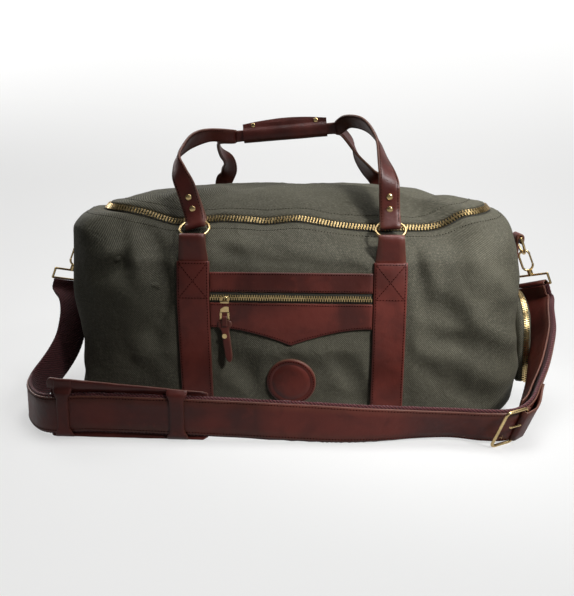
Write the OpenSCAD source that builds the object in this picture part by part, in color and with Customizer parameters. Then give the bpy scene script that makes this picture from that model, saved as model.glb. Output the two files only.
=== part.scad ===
/* [Body] */
// Length of the bag between its front corners' outer faces
bag_length = 560; // [500:2:620]
// Depth of the bag from front to back
bag_depth = 260; // [230:2:300]
// Height of the zip line above the floor
zip_height = 245; // [232:1:265]
// How far each end bows out past the corners
end_bow = 14; // [6:1:20]
// Outer radius of the four upright corners
corner_radius = 60; // [48:1:70]
// How far the front and back lean in from their faces to the zip
shoulder_depth = 36; // [32:1:40]
// Height over which the shoulders lean in
shoulder_height = 44; // [38:1:46]
// Radius of the rounded bottom edge
foot_radius = 14; // [8:1:20]
// How far the loose canvas swells out beside the straps
canvas_swell = 9; // [4:1:12]
// Thickness of the waxed canvas
canvas_t = 3; // [2:0.5:4]
// Thickness of the lining cloth
lining_t = 1.5; // [1:0.25:2.5]
// Thickness of the stiff board on the floor of the bag
board_t = 3; // [2:0.5:5]
// Gap left where one sewn piece lies on another
seat = 0.3; // [0.2:0.05:0.5]

/* [Lid] */
// Height of the lid's crown above the zip line
lid_rise = 46; // [34:1:50]
// Diameter of the rolled binding that the lid hinges on
binding_d = 9; // [7:0.5:9.2]

/* [Zips] */
// Width of one row of teeth
teeth_w = 2.3; // [1.8:0.1:2.6]
// Height of the teeth
teeth_h = 2.6; // [2:0.1:3.2]
// Gap between the two rows of teeth
teeth_gap = 0.6; // [0.5:0.1:0.8]
// Distance from the middle of the zip to the canvas hem
hem_gap = 5; // [4.8:0.1:6]
// Thickness of the zip tape
tape_t = 1; // [0.6:0.1:1.4]

/* [Body straps] */
// Distance between the middles of the two front straps
strap_spacing = 238; // [210:2:260]
// Width of a body strap
strap_w = 40; // [34:1:46]
// Thickness of a body strap
strap_t = 3.5; // [2.5:0.5:5]
// How far below the start of the shoulder the straps' upper ends lie
strap_drop = 1; // [0:0.5:6]
// Height of the ring's lower bar above the strap's upper end
chape_rise = 29; // [26:1:32]
// Width of the chape where it holds the ring
chape_w = 29; // [24:1:31]
// Thickness of the chape's leather
chape_t = 3; // [2:0.5:3.5]

/* [Rings] */
// Outer diameter of a handle ring
ring_d = 39; // [36:1:42]
// Wire diameter of the handle rings and the end rings
ring_wire = 3.5; // [3:0.25:4]
// Angle at which a handle ring lies back on the shoulder
ring_slope = 30; // [29:1:34]

/* [Handles] */
// Width of a handle strap
handle_w = 25; // [20:1:27]
// Thickness of a handle strap
handle_t = 3.6; // [3:0.2:4]
// Height of the handles' arch above the rings
handle_rise = 122; // [116:1:128]
// How far the grip's middle hangs below the top of that arch
grip_drop = 13; // [10:0.5:16]
// Diameter of a rivet head
rivet_d = 8; // [6:0.5:10]
// Length of the grip wrap
grip_length = 112; // [90:1:120]
// Thickness of the grip's leather
grip_t = 2.5; // [2:0.25:3]
// Height of the snapped edge that stands on the grip
grip_fin = 5; // [3:0.5:8]

/* [Front pocket] */
// Height of the pocket zip's middle above the floor
pocket_zip_z = 157; // [150:1:158]
// Height of the leather strip above the pocket zip
pocket_strip_h = 24; // [18:1:28]
// Thickness of the strip and the apron
apron_t = 2.5; // [2:0.25:3]
// Height of the apron at its sides
apron_side_h = 31; // [24:1:36]
// Further drop of the apron to its middle point
apron_drop = 23; // [16:1:28]
// Depth of the pocket's inner bag below the zip
pocket_bag_h = 115; // [90:1:125]
// Diameter of the round patch
patch_d = 62; // [50:1:66]
// Height of the patch's middle above the floor
patch_z = 48; // [42:1:52]

/* [Pulls] */
// Length of a puller plate
puller_l = 27; // [22:1:32]
// Width of a puller plate
puller_w = 13; // [11:0.5:15]
// Thickness of a puller plate
puller_t = 2; // [1.5:0.25:2.5]
// Length of the leather pull tab
tab_l = 56; // [45:1:64]
// Diameter of the stud on the pull tab
stud_d = 6; // [4:0.5:7]

/* [End fittings] */
// Width of an end tab
end_tab_w = 30; // [24:1:34]
// Height of an end tab's lower end above the floor
end_tab_z = 150; // [146:1:160]
// Length of an end tab up to its ring
end_tab_l = 62; // [50:1:64]
// Thickness of an end tab
end_tab_t = 4; // [3:0.5:5]
// How far the end pocket stands out from the bag
end_pocket_t = 15; // [10:1:16]
// Half the width of the end pocket
end_pocket_half = 62; // [50:1:66]
// Height of the end pocket's top above the floor
end_pocket_top = 142; // [125:1:144]
// How far the snap hooks hang out from upright
hook_lean = 22; // [20:1:26]

/* [Shoulder strap] */
// Width of the strap's webbing
sling_w = 48; // [40:1:48]
// Thickness of the webbing
webbing_t = 3; // [2:0.5:4]
// Thickness of the strap's leather facing
facing_t = 2; // [1.5:0.25:2.5]
// Length of the shoulder pad
pad_l = 178; // [150:2:184]
// Width of the shoulder pad
pad_w = 66; // [58:1:70]
// Thickness of the shoulder pad
pad_t = 3.5; // [2.5:0.25:5]
// Wire diameter of the buckle
buckle_wire = 4; // [3:0.25:5]

/* [Hidden] */
$fn = 48;
canvas_colour = [0.25, 0.25, 0.20];
leather_colour = [0.27, 0.10, 0.09];
brass_colour = [0.80, 0.66, 0.38];
cloth_colour = [0.35, 0.30, 0.24];
webbing_colour = [0.22, 0.07, 0.09];

half_l = bag_length / 2;
half_d = bag_depth / 2;
end_x = half_l + end_bow;
zip_x = half_l - shoulder_depth;
zip_y = half_d - shoulder_depth;
strap_x = strap_spacing / 2;
strap_top = zip_height - shoulder_height - strap_drop;

// Levels of the upright walls: [height, lean in from the widest outline]
foot_steps = [0, 45, 90];
shoulder_steps = [0, 0.25, 0.5, 0.75, 1];
wall_foot_z = 0.5;
shoulder_curve = 1.2;
wall_top_lean = shoulder_depth - hem_gap;
wall_levels = concat(
    [for (a = foot_steps)
        [wall_foot_z + foot_radius * (1 - cos(a)), foot_radius * (1 - sin(a))]],
    [for (s = shoulder_steps)
        [zip_height - shoulder_height * pow(1 - s * wall_top_lean / shoulder_depth, shoulder_curve),
         s * wall_top_lean]]);

// Handle rings: lower bar in the chape, upper bar in the handle's fold
ring_r = (ring_d - ring_wire) / 2;
chape_loop_r = ring_wire / 2 + seat;
ring_off = 0.7;
pivot_y = half_d + strap_t + seat + ring_off;
pivot_z = strap_top + chape_rise;
ring_top_y = pivot_y - 2 * ring_r * cos(ring_slope);
ring_top_z = pivot_z + 2 * ring_r * sin(ring_slope);
// how far the slanting wire falls back from the bar's middle across a fold of width w
function ring_sag(w) = let (c = sqrt(1 - pow(w / ring_r / 2, 2)))
    ring_r * (1 - c) + ring_wire / 2 * (1 / c - 1);

// Handle fold: lean of each leg, rivet heights above the ring's upper bar
front_leans = [-18, -3];
back_leans = [4, -5];
rivet_heights = [15, 30];
fold_tab_h = 34;
rivet_h = 1.8;
rivet_lift = 0.8;

// Grip: middle and tilt, in the plane between the two handles
grip_x = -16;
grip_lift = handle_rise - grip_drop;
grip_z = ring_top_z + grip_lift;
grip_tilt = 4.6;
grip_strap_w = 9.4;
grip_inner_r = 5.5;
grip_straight = 2;

// Handle routes, left leg then right leg, as steps away from the ring's upper bar in hundredths of
// the handles' rise: [[x step, step towards the middle, height step], width direction, width]
function leg(dx, dy, dz, w, width) = [[dx, dy, dz] * handle_rise / 100, w, width];
front_left_leg = [
    leg(-2.46, 0, 7.79, [-0.95, 0, -0.3], handle_w),
    leg(-10.66, 0, 33.61, [-0.95, 0, -0.3], handle_w),
    leg(-17.62, 4.92, 46.72, [-0.85, 0.5, -0.2], handle_w),
    leg(-22.13, 14.75, 58.2, [-0.4, 0.9, -0.1], handle_w),
    leg(-19.67, 26.23, 68.85, [-0.1, 0.99, -0.1], handle_w),
    leg(-9.84, 42.62, 80.33, [0.1, 0.9, -0.4], handle_w),
    leg(6.56, 65.57, 86.07, [0.1, 0.75, -0.65], handle_w * 0.8)];
front_right_leg = [
    leg(-42.62, 67.21, 100, [0, 0.75, -0.65], handle_w * 0.8),
    leg(-25.41, 47.54, 95.9, [0, 0.9, -0.4], handle_w),
    leg(-13.11, 32.79, 81.15, [0.1, 0.99, -0.1], handle_w),
    leg(-7.38, 18.03, 63.11, [0.4, 0.9, 0], handle_w),
    leg(-3.28, 4.92, 46.72, [0.85, 0.5, 0], handle_w),
    leg(-1.64, 0, 33.61, [1, 0, 0.05], handle_w),
    leg(0, 0, 7.79, [1, 0, 0.05], handle_w)];
back_left_leg = [
    leg(0.49, 0, 7.79, [-1, 0, 0.07], handle_w),
    leg(2.46, 0, 32.79, [-1, 0, 0.07], handle_w),
    leg(9.84, 8.2, 44.26, [-0.85, 0.5, 0], handle_w),
    leg(10.66, 24.59, 57.38, [-0.4, 0.9, 0], handle_w),
    leg(4.92, 42.62, 69.67, [0.1, 0.9, -0.2], handle_w),
    leg(8.2, 65.57, 82.79, [0.1, 0.75, -0.65], handle_w * 0.8)];
back_right_leg = [
    leg(-49.18, 67.21, 91.8, [0, 0.75, -0.65], handle_w * 0.8),
    leg(-36.07, 44.26, 77.05, [-0.1, 0.9, -0.3], handle_w),
    leg(-26.23, 24.59, 59.02, [0.4, 0.9, 0], handle_w),
    leg(-14.75, 8.2, 44.26, [0.85, 0.5, 0], handle_w),
    leg(-2.46, 0, 32.79, [1, 0, 0.07], handle_w),
    leg(-0.49, 0, 7.79, [1, 0, 0.07], handle_w)];
strap_half_gap = handle_t / 2 + 0.9;
grip_mouth = 2;
approach = 14;
approach_side = 3.4;
approach_w = 13;
function grip_point(e, run, side, w, width) =
    [[grip_x + e * run, -strap_half_gap - side, grip_z + e * run * tan(grip_tilt)], w, width];
grip_half_run = grip_length / 2 + grip_mouth;
grip_run = [
    grip_point(-1, grip_half_run + approach, approach_side, [0, 0.25, -0.97], approach_w),
    grip_point(-1, grip_half_run, 0, [0, 0.1, -0.99], grip_strap_w),
    grip_point(1, grip_half_run, 0, [0, 0.1, -0.99], grip_strap_w),
    grip_point(1, grip_half_run + approach, approach_side, [0, 0.25, -0.97], approach_w)];
function placed(legs, side) = [for (p = legs)
    [[side * strap_x + p[0][0], p[0][1] - ring_top_y, ring_top_z + p[0][2]], p[1], p[2]]];
front_route = concat(placed(front_left_leg, -1), grip_run, placed(front_right_leg, 1));
back_route = concat(placed(back_left_leg, -1), grip_run, placed(back_right_leg, 1));

// Hooks: the end ring's lowest point, where the hook hangs
end_ring_r = end_tab_w / 2 + ring_wire / 2 + 1;
end_ring_drop = 6;
end_loop_x = end_x + seat + end_tab_t + 1;
end_loop_z = end_tab_z + end_tab_l + 5;
hook_x = end_loop_x + (end_ring_r + end_ring_drop) * sin(hook_lean);
hook_z = end_loop_z - (end_ring_r + end_ring_drop) * cos(hook_lean);
hook_wire = 3;
hook_r = 7;
hook_straight = 14;
hook_top = ring_wire / 2 + seat - hook_r + hook_wire / 2;
hook_low = hook_top - hook_straight;
swivel_top = hook_low - hook_r - hook_wire / 2 + 0.6;
swivel_h = 7;
loop_turn = -49.5;
loop_h = 14;
loop_low = swivel_top - swivel_h - loop_h;

// Where the strap hangs under a hook's loop, and the way that loop's bar runs
sling_hang = hook_wire / 2 + 0.34;
sling_end_x = hook_x - (loop_low - sling_hang) * sin(hook_lean);
sling_end_z = hook_z + (loop_low - sling_hang) * cos(hook_lean);
function sling_end(sx, step) = [sx * sling_end_x, 0, sling_end_z] + step;
function bar_way(sx) = let (c = cos(loop_turn)) [sx * c * cos(hook_lean), sin(loop_turn), c * sin(hook_lean)];

// Shoulder strap's route from the right hook round the front to the left hook:
// [point, width direction], with the strap standing on its edge in front
sling_route = [
    [sling_end(1, [0, 0, 0]), bar_way(1)],
    [sling_end(1, [5.33, -4, -20]), bar_way(1)],
    [[331, -24, 115], [0.46, -0.83, 0.32]],
    [[329, -50, 96], [0.34, -0.83, 0.44]],
    [[320, -82, 76], [0.26, -0.74, 0.62]],
    [[309, -112, 58], [0.18, -0.54, 0.82]],
    [[294, -144, 43], [0.1, -0.3, 0.95]],
    [[278, -176, 31], [0.02, -0.08, 1]],
    [[256, -196, 25], [0, -0.04, 1]],
    [[226, -199, 25], [0, -0.1, 1]],
    [[190, -194, 25], [0, -0.14, 1]],
    [[150, -196, 25], [0, -0.14, 1]],
    [[100, -204, 25], [0, -0.08, 1]],
    [[60, -207, 25], [0, 0, 1]],
    [[20, -207, 25], [0, 0, 1]],
    [[-90, -207, 25], [0, 0, 1]],
    [[-215, -207, 25], [0, 0, 1]],
    [[-250, -207, 25], [0, 0, 1]],
    [[-274, -207, 25], [0, 0, 1]],
    [[-297, -195, 25], [0, 0, 1]],
    [[-316, -172, 25], [0, 0, 1]],
    [[-329, -148, 25], [0.01, -0.02, 1]],
    [[-335, -124, 26], [-0.03, -0.16, 0.99]],
    [[-334, -104, 32], [-0.12, -0.38, 0.92]],
    [[-327, -86, 43], [-0.23, -0.51, 0.83]],
    [[-319, -70, 57], [-0.32, -0.58, 0.75]],
    [[-313, -55, 73], [-0.39, -0.65, 0.65]],
    [[-311, -42, 90], [-0.44, -0.71, 0.55]],
    [[-312, -29, 107], [-0.47, -0.74, 0.48]],
    [[-317, -17, 123], [-0.5, -0.78, 0.36]],
    [sling_end(-1, [-2, -3, -14]), bar_way(-1)],
    [sling_end(-1, [0, 0, 0]), bar_way(-1)]];
sling_z = 25;
sling_front_y = 207;
buckle_point = [261.63, -191.68];
buckle_turn = 214.9;
pad_left = -270;

function unit(v) = v / norm(v);

// Rounded outline with bowed ends, from the middle of one corner round to the same corner:
// lean is how far it is drawn in all round
corner_steps = 3;
side_steps = 6;
function bow(lean, t) = end_bow * max(0, 1 - lean / shoulder_depth) * (1 + cos(180 * t)) / 2;
function corner_arc(cx, cy, r, from, to, n) =
    [for (i = [0 : n]) let (a = from + (to - from) * i / n) [cx + r * cos(a), cy + r * sin(a)]];
function front_side(lean, sy) = let (r = corner_radius - lean / 2, a = half_l - lean, b = half_d - lean)
    concat(corner_arc(-sy * (a - r), -sy * (b - r), r, sy > 0 ? 225 : 45, sy > 0 ? 270 : 90, corner_steps),
           corner_arc(sy * (a - r), -sy * (b - r), r, sy > 0 ? 270 : 90, sy > 0 ? 315 : 135, corner_steps));
function end_side(lean, sx) = let (r = corner_radius - lean / 2, a = half_l - lean, b = half_d - lean)
    concat(corner_arc(sx * (a - r), -sx * (b - r), r, sx > 0 ? 315 : 135, sx > 0 ? 360 : 180, corner_steps),
           [for (i = [1 : side_steps - 1]) let (t = 2 * i / side_steps - 1)
               [sx * (a + bow(lean, t)), sx * t * (b - r)]],
           corner_arc(sx * (a - r), sx * (b - r), r, sx > 0 ? 0 : 180, sx > 0 ? 45 : 225, corner_steps));
function drop_last(l) = [for (i = [0 : len(l) - 2]) l[i]];
function outline(lean) = concat(drop_last(front_side(lean, 1)), drop_last(end_side(lean, 1)),
                                drop_last(front_side(lean, -1)), drop_last(end_side(lean, -1)));
function lift(points, z) = [for (p = points) [p[0], p[1], z]];

// Closed skin between two grids of points of the same size; ring joins the last column to the first,
// and tops are the two points that close a dome's outer and inner face
module skin(outer, inner, ring = false, tops = []) {
    rows = len(outer);
    cols = len(outer[0]);
    all = concat([for (r = outer) each r], [for (r = inner) each r], tops);
    base = rows * cols;
    wide = ring ? cols : cols - 1;
    function at(r, c) = r * cols + c % cols;
    faces = concat(
        [for (r = [0 : rows - 2], c = [0 : wide - 1]) each [
            [at(r, c), at(r + 1, c), at(r + 1, c + 1)], [at(r, c), at(r + 1, c + 1), at(r, c + 1)],
            [base + at(r, c), base + at(r + 1, c + 1), base + at(r + 1, c)],
            [base + at(r, c), base + at(r, c + 1), base + at(r + 1, c + 1)]]],
        [for (c = [0 : wide - 1]) each [
            [at(0, c), at(0, c + 1), base + at(0, c + 1)], [at(0, c), base + at(0, c + 1), base + at(0, c)]]],
        len(tops) > 0
            ? [for (c = [0 : wide - 1]) each [
                [at(rows - 1, c), 2 * base, at(rows - 1, c + 1)],
                [base + at(rows - 1, c), base + at(rows - 1, c + 1), 2 * base + 1]]]
            : [for (c = [0 : wide - 1]) each [
                [at(rows - 1, c), base + at(rows - 1, c + 1), at(rows - 1, c + 1)],
                [at(rows - 1, c), base + at(rows - 1, c), base + at(rows - 1, c + 1)]]],
        ring ? [] : [for (r = [0 : rows - 2]) each [
            [at(r, 0), base + at(r + 1, 0), at(r + 1, 0)], [at(r, 0), base + at(r, 0), base + at(r + 1, 0)],
            [at(r, cols - 1), at(r + 1, cols - 1), base + at(r + 1, cols - 1)],
            [at(r, cols - 1), base + at(r + 1, cols - 1), base + at(r, cols - 1)]]]);
    polyhedron(all, faces);
}

// Strap of changing width swept along a route of [point, width direction, width];
// low and high are its two faces, measured from the route along the strap's normal
function along(route, i) = unit(route[min(i + 1, len(route) - 1)][0] - route[max(i - 1, 0)][0]);
function square_to(w, t) = unit(w - (w * t) * t);
function spline(a, b, c, d, t) = 0.5 * ((2 * b) + (c - a) * t + (2 * a - 5 * b + 4 * c - d) * t * t
                                        + (3 * b - a - 3 * c + d) * t * t * t);
function smooth(route, steps) = let (n = len(route) - 1) concat(
    [for (i = [0 : n - 1], k = [0 : steps - 1])
        let (a = route[max(i - 1, 0)], b = route[i], c = route[i + 1], d = route[min(i + 2, n)],
             t = k / steps)
        [for (j = [0 : len(b) - 1]) spline(a[j], b[j], c[j], d[j], t)]],
    [route[n]]);
module ribbon(route, low, high) {
    frames = [for (i = [0 : len(route) - 1])
        let (t = along(route, i), w = square_to(route[i][1], t))
            [route[i][0], w * route[i][2] / 2, cross(t, w)]];
    skin([for (f = frames) [f[0] - f[1] + f[2] * high, f[0] + f[1] + f[2] * high]],
         [for (f = frames) [f[0] - f[1] + f[2] * low, f[0] + f[1] + f[2] * low]]);
}

// Bar of a four-cornered section that follows an outline: out is measured outwards, up is a height
function outward(points, i) =
    let (n = len(points) - 1, d = unit(points[min(i + 1, n)] - points[max(i - 1, 0)])) [d[1], -d[0]];
module outline_bar(points, out_low, out_high, z_low, z_high) {
    frames = [for (i = [0 : len(points) - 1]) [points[i], outward(points, i)]];
    function row(out, z) = [for (f = frames) [f[0][0] + f[1][0] * out, f[0][1] + f[1][1] * out, z]];
    skin([row(out_high, z_low), row(out_high, z_high)], [row(out_low, z_low), row(out_low, z_high)]);
}

// Round-ended slot outline from a to b
module stadium(a, b, r) {
    d = b - a;
    translate(a) circle(r);
    translate(b) circle(r);
    translate(a) rotate(atan2(d[1], d[0])) translate([0, -r]) square([norm(d), 2 * r]);
}

// Draws a flat outline given in the plane of depth and height, across the given width
module across(width) {
    rotate([90, 0, 90]) linear_extrude(width, center = true) children();
}

// Draws a flat outline given in the plane of length and height, from y to y + t
module facing(y, t) {
    translate([0, y + t, 0]) rotate([90, 0, 0]) linear_extrude(t) children();
}

// Front and back swell between each strap and its corner: places are [part of that width, part of the swell],
// and heights are [part of the upright wall, part of the swell]
swell_from = strap_x + strap_w / 2 + 3;
swell_to = half_l - corner_radius;
swell_places = [[0, 0], [0.25, 0.75], [0.6, 1]];
swell_heights = [[0.3, 0.6], [0.6, 1], [0.85, 0.75]];
function swell_x(k) = swell_from + k * (swell_to - swell_from);
swell_columns = concat([for (i = [len(swell_places) - 1 : -1 : 0]) [-swell_x(swell_places[i][0]), swell_places[i][1]]],
                       [for (p = swell_places) [swell_x(p[0]), p[1]]]);
swell_low = wall_foot_z + foot_radius;
swell_high = zip_height - shoulder_height;
swell_levels = concat(
    [for (l = wall_levels) if (l[0] < swell_low + 0.01) [l[0], l[1], 0]],
    [for (h = swell_heights) [swell_low + h[0] * (swell_high - swell_low), 0, h[1] * canvas_swell]],
    [for (l = wall_levels) if (l[0] > swell_low + 0.01) [l[0], l[1], 0]]);
function front_row(lean, swell, sy) = let (side = front_side(lean, sy), n = len(side) / 2) concat(
    [for (i = [0 : n - 1]) side[i]],
    [for (c = swell_columns) [sy * c[0], -sy * (half_d - lean + swell * c[1])]],
    [for (i = [n : 2 * n - 1]) side[i]]);
module front_wall(sy) {
    color(canvas_colour) skin(
        [for (l = swell_levels) lift(front_row(l[1], l[2], sy), l[0])],
        [for (l = swell_levels) lift(front_row(l[1] + canvas_t, l[2], sy), l[0])]);
}
module end_wall(sx) {
    color(canvas_colour) skin(
        [for (l = wall_levels) lift(end_side(l[1], sx), l[0])],
        [for (l = wall_levels) lift(end_side(l[1] + canvas_t, sx), l[0])]);
}
module front_panel() front_wall(1);
module back_panel() front_wall(-1);
module right_end_panel() end_wall(1);
module left_end_panel() end_wall(-1);

base_lean = foot_radius + canvas_t + seat;
base_t = canvas_t;
module base_panel() {
    color(canvas_colour) linear_extrude(base_t) polygon(outline(base_lean));
}

lining_gap = canvas_t + seat;
lining_drop = 0.8;
lining_levels = [for (i = [1 : len(wall_levels) - 1])
    [wall_levels[i][0] - (i == len(wall_levels) - 1 ? lining_drop : 0), wall_levels[i][1]]];
module lining() {
    color(cloth_colour) skin(
        [for (l = lining_levels) lift(outline(l[1] + lining_gap), l[0])],
        [for (l = lining_levels) lift(outline(l[1] + lining_gap + lining_t), l[0])], true);
}

board_lean = base_lean + lining_t + seat;
module base_board() {
    color(cloth_colour) translate([0, 0, base_t + seat]) linear_extrude(board_t) polygon(outline(board_lean));
}

// The zip follows the front and both ends; the body's half runs on past the lid's half, under the slider
zip_lean = shoulder_depth;
slider_l = 14;
body_zip_end = zip_y - corner_radius + shoulder_depth / 2 + 1;
lid_zip_end = body_zip_end - slider_l - 3;
function zip_line(end_y) = concat(
    [for (p = end_side(zip_lean, -1)) if (p[1] < end_y) p],
    [for (i = [1 : 2 * corner_steps + 1]) front_side(zip_lean, 1)[i]],
    [for (i = [0 : len(end_side(zip_lean, 1)) - 1]) let (p = end_side(zip_lean, 1)[i])
        if (i > 0 && p[1] < end_y) p]);
tape_out = hem_gap - seat;
tape_in = teeth_gap / 2 + teeth_w - 0.6;
tape_top = zip_height - seat;
module zip_tape(side) {
    color(canvas_colour) outline_bar(zip_line(side > 0 ? body_zip_end : lid_zip_end),
                                     side > 0 ? tape_in : -tape_out, side > 0 ? tape_out : -tape_in,
                                     tape_top - tape_t, tape_top);
}
module zip_teeth(side) {
    low = teeth_gap / 2;
    color(brass_colour) outline_bar(zip_line(side > 0 ? body_zip_end : lid_zip_end),
                                    side > 0 ? low : -low - teeth_w, side > 0 ? low + teeth_w : -low,
                                    zip_height, zip_height + teeth_h);
}
module zip_tape_body() zip_tape(1);
module zip_teeth_body() zip_teeth(1);
module zip_tape_lid() zip_tape(-1);
module zip_teeth_lid() zip_teeth(-1);

// Lid: rings of the zip outline drawn in towards the crown
lid_rings = [1, 0.94, 0.85, 0.7, 0.4];
lid_curve = 4.2;
lid_edge = zip_lean + hem_gap;
function lid_row(s, drop) = [for (p = outline(lid_edge)) let (k = s * (1 - drop * s * s / zip_y))
    [p[0] * k, p[1] * k, zip_height + seat + lid_rise * (1 - pow(s, lid_curve)) - drop * (1 - s * s)]];
module lid_panel() {
    crown_z = zip_height + seat + lid_rise;
    color(canvas_colour) skin(
        [for (s = lid_rings) lid_row(s, 0)], [for (s = lid_rings) lid_row(s, canvas_t)], true,
        [[0, 0, crown_z], [0, 0, crown_z - canvas_t]]);
}

binding_l = 2 * (zip_x - corner_radius + shoulder_depth / 2);
module hinge_binding() {
    color(canvas_colour) translate([0, zip_y, zip_height]) rotate([0, 90, 0])
        cylinder(d = binding_d, h = binding_l, center = true);
}

// Body straps run up the front and back from the bottom edge
strap_foot = wall_foot_z + foot_radius;
module body_strap(sx, sy) {
    color(leather_colour) translate([sx * strap_x, 0, 0]) mirror([0, sy > 0 ? 0 : 1, 0])
        translate([-strap_w / 2, -half_d - seat - strap_t, strap_foot])
            cube([strap_w, strap_t, strap_top - strap_foot]);
}
module front_left_strap() body_strap(-1, 1);
module front_right_strap() body_strap(1, 1);
module back_left_strap() body_strap(-1, -1);
module back_right_strap() body_strap(1, -1);

// Chape: a neck that narrows from the strap and folds over the ring's lower bar
module chape() {
    sag = ring_sag(chape_w);
    fold_end = [-pivot_y + sag * cos(ring_slope), pivot_z + sag * sin(ring_slope)];
    neck_top = pivot_z - chape_loop_r;
    facing(-half_d - seat - chape_t, chape_t) polygon([
        [-strap_w / 2, strap_top + seat], [strap_w / 2, strap_top + seat],
        [chape_w / 2, neck_top], [-chape_w / 2, neck_top]]);
    across(chape_w) difference() {
        stadium([-pivot_y, pivot_z], fold_end, chape_loop_r + chape_t);
        stadium([-pivot_y, pivot_z], fold_end, chape_loop_r);
    }
}
module chapes() {
    color(leather_colour) for (sx = [-1, 1]) translate([sx * strap_x, 0, 0]) chape();
}
module front_chapes() chapes();
module back_chapes() mirror([0, 1, 0]) chapes();

module rings() {
    color(brass_colour) for (sx = [-1, 1])
        translate([sx * strap_x, -(pivot_y + ring_top_y) / 2, (pivot_z + ring_top_z) / 2])
            rotate([ring_slope, 0, 0]) rotate_extrude() translate([ring_r, 0]) circle(d = ring_wire);
}
module front_rings() rings();
module back_rings() mirror([0, 1, 0]) rings();

// Handles
module handle(route) {
    color(leather_colour) ribbon(smooth(route, 2), -handle_t / 2, handle_t / 2);
}
module front_handle_strap() handle(front_route);
module back_handle_strap() mirror([0, 1, 0]) handle(back_route);

// Each end folds back round the ring and lies behind the strap
module handle_fold(lean) {
    sag = ring_sag(handle_w);
    inner = ring_wire / 2 + seat;
    fold_t = (handle_t - seat) * 0.8;
    across(handle_w) difference() {
        stadium([0, 0], [-sag * cos(ring_slope), -sag * sin(ring_slope)], inner + fold_t);
        stadium([0, 0], [-sag * cos(ring_slope), -sag * sin(ring_slope)], inner);
    }
    rotate([0, lean, 0]) translate([-handle_w / 2, handle_t / 2 + seat, inner])
        cube([handle_w, fold_t, fold_tab_h]);
}
module handle_folds(leans) {
    color(leather_colour) for (i = [0, 1])
        translate([(2 * i - 1) * strap_x, -ring_top_y, ring_top_z]) handle_fold(leans[i]);
}
module handle_rivets(leans) {
    color(brass_colour) for (i = [0, 1], h = rivet_heights)
        translate([(2 * i - 1) * strap_x, -ring_top_y, ring_top_z]) rotate([0, leans[i], 0])
            translate([0, -handle_t / 2 - rivet_lift, h]) rotate([90, 0, 0])
                cylinder(d = rivet_d, h = rivet_h);
}
module front_handle_folds() handle_folds(front_leans);
module back_handle_folds() mirror([0, 1, 0]) handle_folds(back_leans);
module front_rivets() handle_rivets(front_leans);
module back_rivets() mirror([0, 1, 0]) handle_rivets(back_leans);

// Grip: a leather wrap in two halves that meet in a snapped edge on top
grip_outer_r = grip_inner_r + grip_t;
grip_seam = 0.3;
module grip_half(side) {
    color(leather_colour) translate([grip_x, 0, grip_z]) rotate([0, -grip_tilt, 0]) across(grip_length) {
        difference() {
            stadium([0, -grip_straight], [0, grip_straight], grip_outer_r);
            stadium([0, -grip_straight], [0, grip_straight], grip_inner_r);
            translate([side > 0 ? -50 : -grip_seam, -50]) square([50 + grip_seam, 100]);
        }
        translate([side > 0 ? grip_seam : -grip_seam - grip_t, grip_inner_r + grip_straight])
            square([grip_t, grip_t + grip_fin]);
    }
}
module grip_wrap() grip_half(-1);
module grip_flap() grip_half(1);
snap_inset = 14;
snap_d = 6;
module grip_snaps() {
    color(brass_colour) translate([grip_x, 0, grip_z]) rotate([0, -grip_tilt, 0]) for (e = [-1, 1])
        translate([e * (grip_length / 2 - snap_inset), -grip_seam - grip_t - seat,
                   grip_outer_r + grip_straight + grip_fin / 2])
            rotate([90, 0, 0]) cylinder(d = snap_d, h = 1.2);
}

// Front pocket, between the two front straps
pocket_half = strap_x - strap_w / 2 - seat;
pocket_y = -half_d - seat;
tape_half = hem_gap + 1.5;
module pocket_strip() {
    color(leather_colour) facing(pocket_y - apron_t, apron_t)
        translate([-pocket_half, pocket_zip_z + tape_half]) square([2 * pocket_half, pocket_strip_h]);
}
module pocket_zip_tape() {
    color(canvas_colour) facing(pocket_y - tape_t, tape_t)
        translate([-pocket_half, pocket_zip_z - tape_half + seat])
            square([2 * pocket_half, 2 * (tape_half - seat)]);
}
module pocket_zip_teeth() {
    color(brass_colour) for (e = [-1, 1]) facing(pocket_y - tape_t - seat - teeth_h, teeth_h)
        translate([-pocket_half, pocket_zip_z + (e > 0 ? teeth_gap / 2 : -teeth_gap / 2 - teeth_w)])
            square([2 * pocket_half, teeth_w]);
}
apron_top = pocket_zip_z - tape_half;
apron_curve = 1.8;
apron_steps = 8;
module pocket_apron() {
    edge = [for (i = [-apron_steps : apron_steps]) let (t = i / apron_steps)
        [t * pocket_half, apron_top - apron_side_h - apron_drop * pow(1 - abs(t), apron_curve)]];
    color(leather_colour) facing(pocket_y - apron_t, apron_t)
        polygon(concat(edge, [[pocket_half, apron_top], [-pocket_half, apron_top]]));
}
module pocket_bag() {
    bag_y = -half_d + lining_gap + lining_t + seat;
    color(cloth_colour) translate([-pocket_half, bag_y, pocket_zip_z - pocket_bag_h])
        cube([2 * pocket_half, lining_t, pocket_bag_h]);
}
module round_patch() {
    color(leather_colour) facing(pocket_y - apron_t, apron_t) translate([0, patch_z]) circle(d = patch_d);
}

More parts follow.
